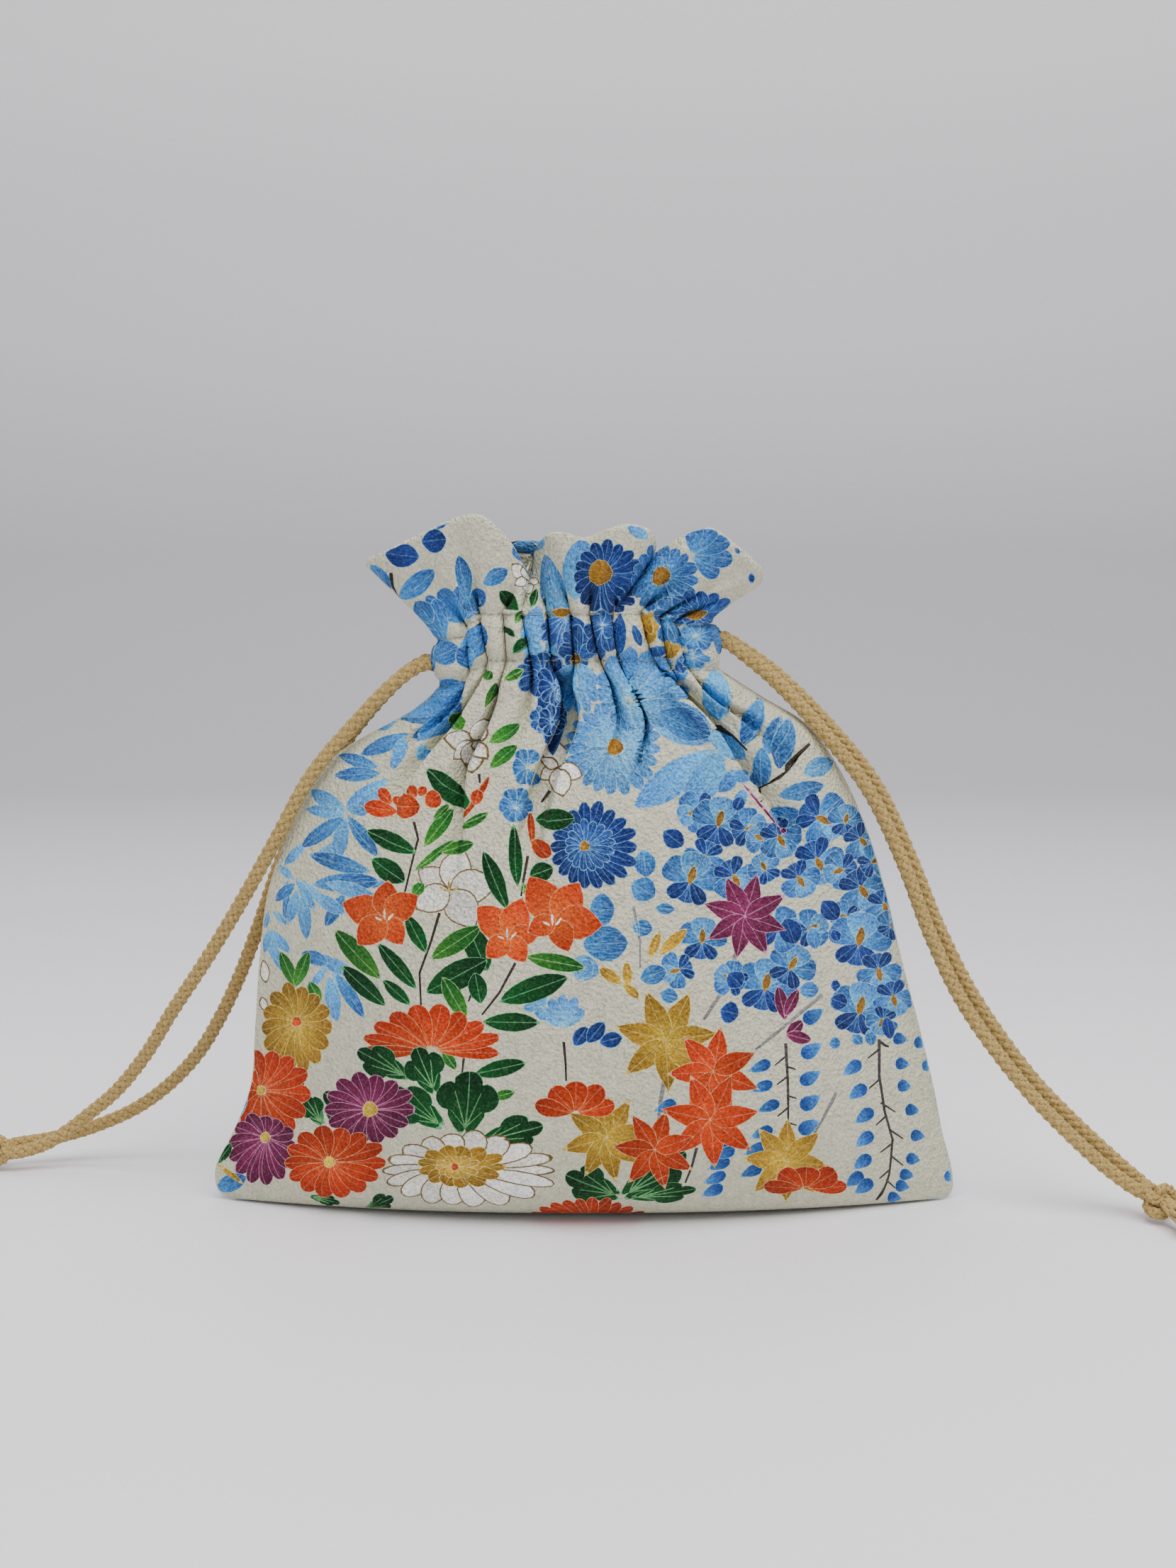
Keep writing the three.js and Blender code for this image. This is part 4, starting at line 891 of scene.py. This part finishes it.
def motif(kind, ink, *n):
    """The shapes of one motif, lowest first. Its numbers n are, in millimetres and degrees:

    blade: its root and its tip, and its width.
    mum: where its petals meet, the middle of the ring of their tips, that ring's half width and half
        height, how many petals, and the first one's angle. Petal k reaches 1 + 0.06 sin(2.4 k^1.3).
    fan: as mum, but then the first and the last petal's angle and how many petals.
    maple: its middle, its reach, the first point's angle and how many points.
    bell: its middle and the tip of each petal.
    lobed: its foot and its tip, and its width. Its edge at the angle a from its tip lies at
        0.78 + 0.26 |cos 2.5a|^0.6 of the way out, which makes five round lobes.
    floret: its middle, its size and the way that its lip points.
    twig: its thickness and its places.
    dot: its middle and its radius.
    """
    a = np.array(n[:4], float)
    if kind == "blade":
        ends = {"drop": (0.5, 1.0), "orange": (0.8, 0.6)}.get(ink, (0.8, 0.76))
        return [blade(ink, a[:2], a[2:], n[4], *ends)]
    if kind in ("mum", "fan"):
        centre, middle = a[:2], a[2:]
        count = n[6] if kind == "mum" else n[8]
        angles = (n[7] + np.arange(count) * 360 / count if kind == "mum"
                  else np.linspace(n[6], n[7], count))
        reach = 1 + 0.06 * np.sin(2.4 * np.arange(count) ** 1.3)
        tips = middle + around(angles, n[4], n[5]) * reach[:, None]
        gap = math.radians(360 / count if kind == "mum" else (n[7] - n[6]) / max(1, count - 1))
        wide = np.minimum(1, gap) * np.hypot(*around(angles + 90, n[4], n[5]).T) * 0.9
        return [blade(ink, centre + 0.06 * (tip - centre), tip, w, 1.0, 0.5) for tip, w in zip(tips, wide)]
    if kind == "maple":
        angles = n[3] + np.arange(n[4]) * 360 / n[4] + 4 * np.sin(5.0 * np.arange(n[4]))
        reach = n[2] * (0.94 + 0.1 * np.sin(3.1 * np.arange(n[4])))
        return [blade(ink, a[:2], a[:2] + 1.16 * r * around(g, 1), n[2] * 0.5, 0.75, 1.2)
                for g, r in zip(angles, reach)]
    if kind == "bell":
        tips = np.array(n[2:], float).reshape(-1, 2)
        return [blade(ink, a[:2], a[:2] + 1.06 * (tip - a[:2]), 0.8 * np.hypot(*(tip - a[:2])), 0.7, 0.95)
                for tip in tips]
    if kind == "lobed":
        axis = a[2:] - a[:2]
        across = np.array([-axis[1], axis[0]]) / np.hypot(*axis) * n[4] * 0.62
        turn = np.linspace(-math.pi, math.pi, 61)[:-1]
        reach = 0.78 + 0.26 * np.abs(np.cos(2.5 * turn)) ** 0.6
        narrow = 0.4 + 0.6 * smooth(np.cos(turn), -1, 0.1)
        outline = (a[:2] + (0.5 + 0.54 * np.cos(turn) * reach)[:, None] * axis
                   + (np.sin(turn) * reach * narrow)[:, None] * across)
        root = a[:2] + 0.1 * axis
        ribs = [twig("rib", 0.4, root, root + u * axis + v * across)
                for u, v in ((0.28, 0.5), (0.28, -0.5), (0.6, 0.42), (0.6, -0.42), (0.72, 0))]
        return [{"ink": ink, "outline": outline, "spine": outline[:0], "axis": (a[:2], a[2:])}, *ribs]
    if kind == "floret":
        c, r = a[:2], n[2]
        petals = [("blue", 180, 0.8, 0.7), ("deep", 138, 0.95, 0.55), ("deep", -138, 0.95, 0.55),
                  ("sky", 66, 1.1, 1.0), ("sky", -66, 1.1, 1.0), ("mist", 0, 1.05, 1.1)]
        shapes = [blade(k, c, c + r * s * around(n[3] + g, 1), r * w, 0.9, 0.4) for k, g, s, w in petals]
        gold = 0.36 * r * around(n[3], 1)
        return [*shapes, blade("almond", c - gold * 0.4, c + gold * 1.6, r * 0.3)]
    if kind == "twig":
        return [twig(ink, *n)]
    ring = np.linspace(0, 360, 11)[:-1]
    return [{"ink": ink, "outline": a[:2] + around(ring, n[2]) * (1 + 0.1 * np.sin(ring))[:, None],
             "spine": a[None, :2], "axis": (a[:2], a[:2] + (n[2], 0))}]


def sight_map(table):
    """Finds cloth by line of sight. Each cloth point nearest the eye is noted on a 0.5 mm grid over the
    seam plane, where the line of sight through it crosses that plane; gaps take their neighbours'
    mean. Returns a function from (x, z) on the plane to (t, q) on the cloth."""
    rows = int(RIM_Q / STEP)
    t, q = np.meshgrid(np.arange(-HALF, HALF, 0.25), np.arange(0, rows * STEP, 0.25))
    points = on_cloth(table, t, q)
    scale = -EYE[1] / (points[..., 1] - EYE[1])
    x, z = (EYE[k] + (points[..., k] - EYE[k]) * scale for k in (0, 2))
    low, shape, cell = np.array([-112.0, -12.0]), (410, 450), 0.5
    order = np.argsort(-points[..., 1].ravel())
    i = np.clip(np.rint((z.ravel()[order] - low[1]) / cell).astype(int), 0, shape[0] - 1)
    j = np.clip(np.rint((x.ravel()[order] - low[0]) / cell).astype(int), 0, shape[1] - 1)
    seen = np.full((*shape, 2), np.nan)
    seen[i, j, 0], seen[i, j, 1] = t.ravel()[order], q.ravel()[order]
    for _ in range(100):
        empty = np.isnan(seen[..., 0])
        if not empty.any():
            break
        wide = np.pad(seen, ((1, 1), (1, 1), (0, 0)), constant_values=np.nan)
        near = np.stack([wide[1 + a:1 + a + shape[0], 1 + b:1 + b + shape[1]]
                         for a, b in ((0, 1), (0, -1), (1, 0), (-1, 0))])
        known = ~np.isnan(near)
        mean = np.where(known, near, 0).sum(0) / np.maximum(known.sum(0), 1)
        fill = empty & known[..., 0].any(0)
        seen[fill] = mean[fill]
    seen = np.nan_to_num(seen, nan=-999.0)
    for axis in (0, 1):
        seen = blurred(seen, 0.8, axis)

    def to_flat(points):
        x, z = np.moveaxis(np.asarray(points, float), -1, 0)
        return between(seen, (z - low[1]) / cell, (x - low[0]) / cell)
    return to_flat


def changed(shape, how):
    """A shape with how applied to all of its places."""
    return {"ink": shape["ink"], "outline": how(shape["outline"]), "spine": how(shape["spine"]),
            "axis": tuple(how(end) for end in shape["axis"])}


def laid_flat(to_flat):
    """Every shape of the print, in cloth coordinates."""
    return [changed(shape, to_flat) for kind, ink, *places in PRINT for place in places
            for shape in motif(kind, ink, *place)]


def moved(shapes, dt, dq, low, high):
    """The shapes whose middle lies between the heights low and high, moved along the cloth."""
    return [changed(s, lambda places: places + np.array([dt, dq])) for s in shapes
            if low <= s["outline"][:, 1].mean() < high]


def uppermost(points, shapes):
    """For each point, the number of the last shape whose outline has it inside, or -1. A point is
    inside when a line from it towards +t crosses the outline an odd number of times."""
    top = np.full(len(points), -1)
    order = np.argsort(points[:, 1])
    x, y = points[order].T
    for k, shape in enumerate(shapes):
        a = shape["outline"]
        b = np.roll(a, -1, axis=0)
        first, last = np.searchsorted(y, (a[:, 1].min(), a[:, 1].max()))
        near = first + np.flatnonzero((x[first:last] > a[:, 0].min()) & (x[first:last] < a[:, 0].max()))
        px, py = x[near, None], y[near, None]
        rise = np.where(b[:, 1] == a[:, 1], 1e-9, b[:, 1] - a[:, 1])
        crossing = ((a[:, 1] > py) != (b[:, 1] > py)) & (
            px < a[:, 0] + (py - a[:, 1]) / rise * (b[:, 0] - a[:, 0]))
        top[order[near[crossing.sum(1) % 2 == 1]]] = k
    return top


def flat_grid(folds):
    """Staggered points of the flat cloth: 1.5 mm apart on the belly, 1 mm in the casing and the frill and
    2 mm in the turned-in part, and closer across each valley of the folds."""
    places = []
    for low, high, gap in ((0, 118, 1.5), (118, RIM_Q + 4, 1.0), (RIM_Q + 5, TOTAL_Q, 2.0)):
        t, q = np.meshgrid(np.linspace(-HALF, HALF, int(2 * HALF / gap) + 1), np.arange(low, high, gap))
        t[1::2] = np.clip(t[1::2] + gap / 2, -HALF, HALF)
        places.append(np.stack([t.ravel(), q.ravel()], 1))
    ends = np.linspace(-HALF, HALF, 106)
    places.append(np.stack([ends, np.full(106, TOTAL_Q)], 1))
    for t, _, _, _, dies, *_ in folds:
        q = np.arange(np.interp(dies, LEVELS[3:, 0], level_q[3:]), BODY_Q + 8, 0.8)
        off = np.array([-1.6, -0.8, 0.0, 0.8, 1.6])
        places.append(np.stack(np.meshgrid(t + off, q), -1).reshape(-1, 2))
    return np.concatenate(places)


# Values of grain's third number away from any shape, and inside a shape that has no rim.
BARE, NO_RIM = 50, 20
LEAST_AREA = 0.15  # of a shape, in square millimetres, for it to be cut out


def set_corners(obj, colour, rim, grain):
    """The corner attributes of printed cloth: print (colour, and vein strength as alpha), rim (colour,
    and streak strength as alpha) and grain (place along and across the shape, and distance to its
    outline in rim widths)."""
    for label, values in (("print", colour), ("rim", rim)):
        layer = obj.data.color_attributes.new(label, "BYTE_COLOR", "CORNER")
        layer.data.foreach_set("color_srgb", values.astype(np.float32).ravel())
    layer = obj.data.attributes.new("grain", "FLOAT_VECTOR", "CORNER")
    layer.data.foreach_set("vector", grain.astype(np.float32).ravel())


def printed_panel(name, table, side, folds, shapes, material):
    """The panel cut along the outlines of its print. The flat cloth is triangulated through a staggered
    grid and every outline, each triangle takes the ink of the uppermost shape over it, and then each
    point goes to its place on the finished surface."""
    places, edges, kept = [flat_grid(folds)], [], []
    start = len(places[0])
    for shape in shapes:
        outline = np.clip(shape["outline"], (-HALF, 0), (HALF, TOTAL_Q))
        x, y = outline.T
        if abs(0.5 * np.sum(x * np.roll(y, -1) - np.roll(x, -1) * y)) < LEAST_AREA:
            continue
        kept.append({**shape, "outline": outline})
        ring = np.arange(start, start + len(outline))
        edges += np.stack([ring, np.roll(ring, -1)], 1).tolist()
        spine = np.clip(shape["spine"], (-HALF, 0), (HALF, TOTAL_Q))
        places += [outline, spine]
        start += len(outline) + len(spine)
    flat = np.concatenate(places)
    found = geometry.delaunay_2d_cdt([Vector(p) for p in flat.tolist()], edges, [], 0, 1e-3, False)
    flat = np.array([tuple(v) for v in found[0]])
    tris = np.array([f for f in found[2]], np.int64)
    corners = flat[tris]
    top = uppermost(corners.mean(1), kept)
    colour, rim, grain = np.ones((len(tris), 3, 4)), np.ones((len(tris), 3, 4)), np.zeros((len(tris), 3, 3))
    colour[..., :3] = rim[..., :3] = np.array(CREAM) / 255
    colour[..., 3] = rim[..., 3] = 0
    grain[..., :2], grain[..., 2] = corners, BARE
    by_shape = np.argsort(top, kind="stable")
    bounds = np.searchsorted(top[by_shape], np.arange(len(kept) + 1))
    for k, shape in enumerate(kept):
        of = by_shape[bounds[k]:bounds[k + 1]]
        if not len(of):
            continue
        p = corners[of]
        root, tip, edge_ink, vein, streak, rim_width = INKS[shape["ink"]]
        begin, end = shape["axis"]
        axis = end - begin
        long = max(np.hypot(*axis), 0.2)
        along = (p - begin) @ axis / long
        share = np.clip(along / long, 0, 1)[..., None]
        # No two shapes in a row are quite as light as each other.
        tone = 1 + 0.08 * math.sin(12.9 * k) + 0.05 * math.sin(4.1 * k)
        field = np.array(root) * (1 - share) + np.array(tip) * share
        colour[of, :, :3] = np.clip(field * tone / 255, 0, 1)
        colour[of, :, 3], rim[of, :, 3] = vein, streak
        rim[of, :, :3] = np.array(edge_ink) / 255
        a = shape["outline"]
        b = np.roll(a, -1, axis=0) - a
        size = np.maximum((b * b).sum(1), 1e-9)
        w = np.clip(((p[..., None, :] - a) * b).sum(-1) / size, 0, 1)
        away = np.linalg.norm(p[..., None, :] - a - w[..., None] * b, axis=-1).min(-1)
        grain[of, :, 0], grain[of, :, 1] = along, (p - begin) @ np.array([-axis[1], axis[0]]) / long
        grain[of, :, 2] = away / rim_width if rim_width else NO_RIM
    # The flat cloth fills the UV square but for a margin of 1%.
    uv = np.stack([(flat[:, 0] + HALF) / (2 * HALF), flat[:, 1] / TOTAL_Q], 1) * 0.98 + 0.01
    order = [0, 1, 2] if side < 0 else [0, 2, 1]
    obj = add_mesh(name, on_cloth(table, flat[:, 0], flat[:, 1]), tris[:, order], material, uv=uv)
    set_corners(obj, colour[:, order], rim[:, order], grain[:, order])
    return obj


def crepe_material():
    """Printed crepe: inks with light rims and veins, streaks along each petal, a fine mottle that follows
    the crepe's grain, partly uneven ink and partly painted light and shade on its grains, and the grain
    itself as a bump."""
    material, nodes, links, shader, place = new_material("printed crepe", 0.85, 0.04)

    def math_node(operation, *values):
        return new_node(nodes, links, "ShaderNodeMath", *values, operation=operation).outputs[0]

    def mixed(fac, a, b):
        node = new_node(nodes, links, "ShaderNodeMix", data_type="RGBA")
        for k, value in ((0, fac), (6, a), (7, b)):
            feed(links, node.inputs[k], value)
        return node.outputs[2]

    def stepped(value, low, high):
        return new_node(nodes, links, "ShaderNodeMapRange", value, low, high,
                        interpolation_type="SMOOTHSTEP").outputs["Result"]

    def noise(vector, scale, detail):
        node = new_node(nodes, links, "ShaderNodeTexNoise", vector, Scale=scale, Detail=detail)
        return node.outputs["Fac"]

    inks, rims, grain = (new_node(nodes, links, "ShaderNodeAttribute", attribute_name=name)
                         for name in ("print", "rim", "grain"))
    split = new_node(nodes, links, "ShaderNodeSeparateXYZ", grain.outputs["Vector"])
    printed = math_node("LESS_THAN", split.outputs[2], BARE - 5)
    # Streaks run along each shape, so their noise is stretched that way.
    stretch = new_node(nodes, links, "ShaderNodeVectorMath", grain.outputs["Vector"], (0.35, 2.6, 0),
                       operation="MULTIPLY")
    streak = stepped(noise(stretch.outputs[0], 1.0, 2), 0.42, 0.66)
    streak = math_node("MULTIPLY", streak, rims.outputs["Alpha"])
    colour = mixed(math_node("MULTIPLY", streak, printed), inks.outputs["Color"], rims.outputs["Color"])
    vein = math_node("SUBTRACT", 1.0, stepped(math_node("ABSOLUTE", split.outputs[1]), 0.06, 0.2))
    vein = math_node("MULTIPLY", math_node("MULTIPLY", vein, inks.outputs["Alpha"]), printed)
    colour = mixed(vein, colour, rims.outputs["Color"])
    rim = math_node("SUBTRACT", 1.0, stepped(split.outputs[2], 0.1, 0.26))
    colour = mixed(rim, colour, rims.outputs["Color"])
    # Partly painted light and shade: this fine noise is also the bump's height below, so raised grains come
    # out lighter and sunken ones darker, on top of the ink's own unevenness.
    fine = noise(place, 1500, 1.5)
    speck = math_node("MULTIPLY", stepped(fine, 0.5, 0.72), math_node("MULTIPLY", printed, 0.03))
    colour = mixed(speck, colour, (*linear(CREAM), 1))
    slow = noise(place, 260, 2)
    swing = math_node("MULTIPLY_ADD", printed, 0.8, 0.55)
    tone = math_node("MULTIPLY", math_node("SUBTRACT", fine, 0.5), swing)
    tone = math_node("ADD", tone, math_node("MULTIPLY_ADD", slow, 0.3, 0.85))
    shade = new_node(nodes, links, "ShaderNodeHueSaturation", Color=colour, Value=tone)
    links.new(shade.outputs["Color"], shader.inputs["Base Color"])
    pebble = new_node(nodes, links, "ShaderNodeTexVoronoi", place, Scale=850)
    height = math_node("MULTIPLY_ADD", fine, 1.3, pebble.outputs["Distance"])
    bumped(nodes, links, shader, height, 1.0, 0.0007)
    return material


CREPE = crepe_material()
front_print = laid_flat(sight_map(front_table))
# The print goes on inside the frill and on the back panel, as shapes of the front moved sideways and
# up the cloth. Each move is (sideways, up, the lowest height taken, the highest).
INSIDE_MOVES = [(dt, RIM_Q - 96, 96, 96 + TURNED_IN) for dt in (38, 38 - 2 * HALF)]
BACK_MOVES = [(dt, *rest) for dt in (-HALF - 18, HALF - 18) for rest in ((60, 0, 155), (-155, 155, 230))]
BACK_FRILL_MOVE = (0, 110, 90, 150)
inside = [s for move in INSIDE_MOVES for s in moved(front_print, *move)]
front_print += [s for s in inside if s["outline"][:, 1].min() > RIM_Q + 2]
back_print = [s for move in BACK_MOVES for s in moved(front_print, *move)]
back_print += moved(back_print, *BACK_FRILL_MOVE)
front = printed_panel("front_panel_cloth", front_table, -1, FRONT_FOLDS, front_print, CREPE)
back = printed_panel("back_panel_cloth", back_table, 1, BACK_FOLDS, back_print, CREPE)


def cuff(exit_place, out, length, tall=3.7, deep=3.9, sides=40):
    """The end of a casing round its cord: the cloth goes out along the cord, rolls over a soft rim and
    comes back inside. Its radius wavers by sin 3a and sin 5a round the mouth."""
    s = np.concatenate([np.linspace(0, length, 9), np.linspace(length, length - 5, 7)[1:]])
    shrink = np.concatenate([np.full(6, 0.0), [0.0, 0.12, 0.45], np.linspace(0.9, 1.0, 6)])
    line = np.array(exit_place) + np.array(out) * s[:, None]
    across = np.broadcast_to((0.0, 1.0, 0.0), line.shape)
    other = unit(np.cross(np.broadcast_to(out, line.shape), across))
    points, faces = tube(line, across, other, deep - 0.9 * shrink, tall - 0.9 * shrink, sides)
    angle = np.tile(np.linspace(0, 2 * math.pi, sides, endpoint=False), len(line))
    waver = 0.35 * np.sin(3 * angle + 1) + 0.2 * np.sin(5 * angle)
    middle = np.repeat(line, sides, 0)
    points = points + unit(points - middle) * waver[:, None]
    points[:, 0] += np.sign(out[0]) * 0.5 * np.sin(2 * angle + 0.7) * np.repeat(s / length, sides)
    return points, faces


def stitch_row(table, side, q, low=-100.0, high=100.0, gap=3.4, places=7, sides=6):
    """A row of running stitches at one cloth height: each is a thread 2 mm long that rises 0.1 mm out
    of the cloth, as 0.24 sin(pi u) - 0.14, and goes back into it."""
    starts = np.arange(low, high, gap)[:, None]
    u = np.linspace(0, 1, places)[None]
    t = starts + 2.0 * u
    q = np.full_like(t, q) + 0.15 * np.sin(starts)
    up = off_cloth(table, side, t, q)
    line = on_cloth(table, t, q) + up * (0.24 * np.sin(math.pi * u) - 0.14)[..., None]
    ahead = unit(np.gradient(line, axis=1))
    across = unit(np.cross(ahead, up))
    angle = np.linspace(0, 2 * math.pi, sides, endpoint=False)
    ring = line[:, :, None] + 0.17 * (across[:, :, None] * np.cos(angle)[:, None]
                                      + np.cross(across, ahead)[:, :, None] * np.sin(angle)[:, None])
    one = grid_faces(places, sides, True)
    faces = (one[None] + places * sides * np.arange(len(starts))[:, None, None]).reshape(-1, 4)
    return ring.reshape(-1, 3), faces


def lining_sheet(name, table, side, material):
    """One lining panel: the body of its outer panel up to the casing, drawn 1.2 mm and 4% inwards."""
    rows = np.arange(0, int(LINING_Q / STEP), 3)
    points = table[np.ix_(rows, np.arange(0, len(flat_t), 3))].copy()
    x, y, z = (points[..., k] for k in range(3))
    points[..., 1] = side * np.maximum(0.96 * side * y - 1.2, 0.15)
    points[..., 0] = 0.982 * x
    points[..., 2] = z + 1.3 * (1 - smooth(z, 4, 30))
    faces = grid_faces(*points.shape[:2])
    return add_mesh(name, points.reshape(-1, 3), faces if side < 0 else faces[:, ::-1], material)


# The cuffs lie in the print's blues, so they take one plain blue with faint streaks.
CUFF_INK, CUFF_RIM, CUFF_STREAK = (36, 92, 168), (0.5, 0.7, 0.84), 0.35
mouths = [cuff((-31.5, y, 146.0), (-0.99, 0, 0.14), 7.6) for y in (-5.5, 5.5)]
mouths += [cuff((28.5, y, 151.7), (1, 0, 0), 6.8) for y in (-5, 5)]
cuffs = add_mesh("casing_mouths", *joined(mouths), CREPE)
corners = len(cuffs.data.loops)
set_corners(cuffs, np.tile((*np.array(CUFF_INK) / 255, 0.0), (corners, 1)),
            np.tile((*CUFF_RIM, CUFF_STREAK), (corners, 1)), np.tile((3.0, 4.0, NO_RIM), (corners, 1)))
LINING, THREAD = lining_material(), thread_material()
linings = {"lining_front_panel": lining_sheet("lining_front_sheet", front_table, -1, LINING),
           "lining_back_panel": lining_sheet("lining_back_sheet", back_table, 1, LINING)}
front_thread = add_mesh("front_stitches", *joined(
    [stitch_row(front_table, -1, q) for q in (LOW_Q, BODY_Q)]), THREAD)
back_thread = add_mesh("back_stitches", *joined(
    [stitch_row(back_table, 1, q) for q in (LOW_Q, BODY_Q)]), THREAD)


# ------------------------------------------------------------------ stage
def stage_material():
    """Pale paper with light and shade painted into its tone, which changes slowly with z + 0.2 y: painted
    light on the floor, painted shade on a greyer foot of the wall and painted light on a lighter top. Its
    surface has a fine tooth."""
    material, nodes, links, shader, place = new_material("backdrop paper", 0.38)
    split = new_node(nodes, links, "ShaderNodeSeparateXYZ", place)
    height = new_node(nodes, links, "ShaderNodeMath", split.outputs[1], 0.2, split.outputs[2],
                      operation="MULTIPLY_ADD")
    # Painted light and shade: lightest on the floor, a grey band at the foot of the wall, lighter again
    # higher up.
    ramped(nodes, links, shader, height.outputs[0],
           (0.02, (248, 246, 251)), (0.09, (228, 226, 231)), (0.15, (186, 185, 190)),
           (0.3, (178, 178, 182)), (0.45, (206, 206, 209)), (0.62, (224, 224, 226)))
    tooth = new_node(nodes, links, "ShaderNodeTexNoise", place, Scale=500)
    bumped(nodes, links, shader, tooth.outputs["Fac"], 0.1, 0.0002)
    return material


# Sewing thread: cream, with painted shade in dark bands across its twist.
FLOOR_FRONT, BEND_START, BEND, WALL_TOP, HALF_WIDTH = -1600, 420, 380, 2600.0, 2200
bend = np.linspace(0, math.pi / 2, 24)
profile = np.concatenate([
    [(FLOOR_FRONT, 0.0)], np.stack([BEND_START + BEND * np.sin(bend), BEND * (1 - np.cos(bend))], 1),
    [(BEND_START + BEND, WALL_TOP)]])
cols = np.linspace(-HALF_WIDTH, HALF_WIDTH, 9)
points = np.stack(np.broadcast_arrays(cols[None], profile[:, :1], profile[:, 1:]), -1).reshape(-1, 3)
floor = add_mesh("floor_sweep", points, grid_faces(len(profile), len(cols)), stage_material())


def area_light(name, place, target, size, power, colour):
    """A rectangular lamp of that size in metres, turned towards its target."""
    data = bpy.data.lights.new(name, "AREA")
    data.shape = "RECTANGLE"
    data.size, data.size_y = size
    data.energy = power
    data.color = colour
    lamp = bpy.data.objects.new(name, data)
    lamp.location = place
    lamp.rotation_euler = (Vector(target) - Vector(place)).to_track_quat("-Z", "Y").to_euler()
    bpy.context.scene.collection.objects.link(lamp)


LAMP = (1, 0.985, 0.96)
area_light("main light", (0.2, -0.5, 1.15), (0, 0, 0.08), (1.3, 0.9), 20, LAMP)
area_light("back light", (-0.3, 0.5, 1.2), (0, 0, 0.1), (0.9, 0.6), 4, LAMP)
world = bpy.data.worlds.new("studio")
world.use_nodes = True
world.node_tree.nodes["Background"].inputs["Color"].default_value = (0.9, 0.93, 1, 1)
world.node_tree.nodes["Background"].inputs["Strength"].default_value = 0.49
bpy.context.scene.world = world

# ------------------------------------------------------------------ frame
panels = {front: ("outer_front_panel", "front_casing_and_frill"),
          back: ("outer_back_panel", "back_casing_and_frill")}
pieces = [front, back, cuffs, front_thread, back_thread, *linings.values(),
          *(obj for obj, _ in cords.values()), *(obj for pair in ends.values() for obj in pair)]
for obj in pieces:
    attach(obj, "root")
for obj, nodes in panels.items():
    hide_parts(*nodes)
for node, obj in linings.items():
    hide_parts(node)
for side, pair in ends.items():
    for obj, node in zip(pair, ("knot", "tassel")):
        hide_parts(f"{side}_{node}")
for name, (obj, line) in cords.items():
    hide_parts(name)
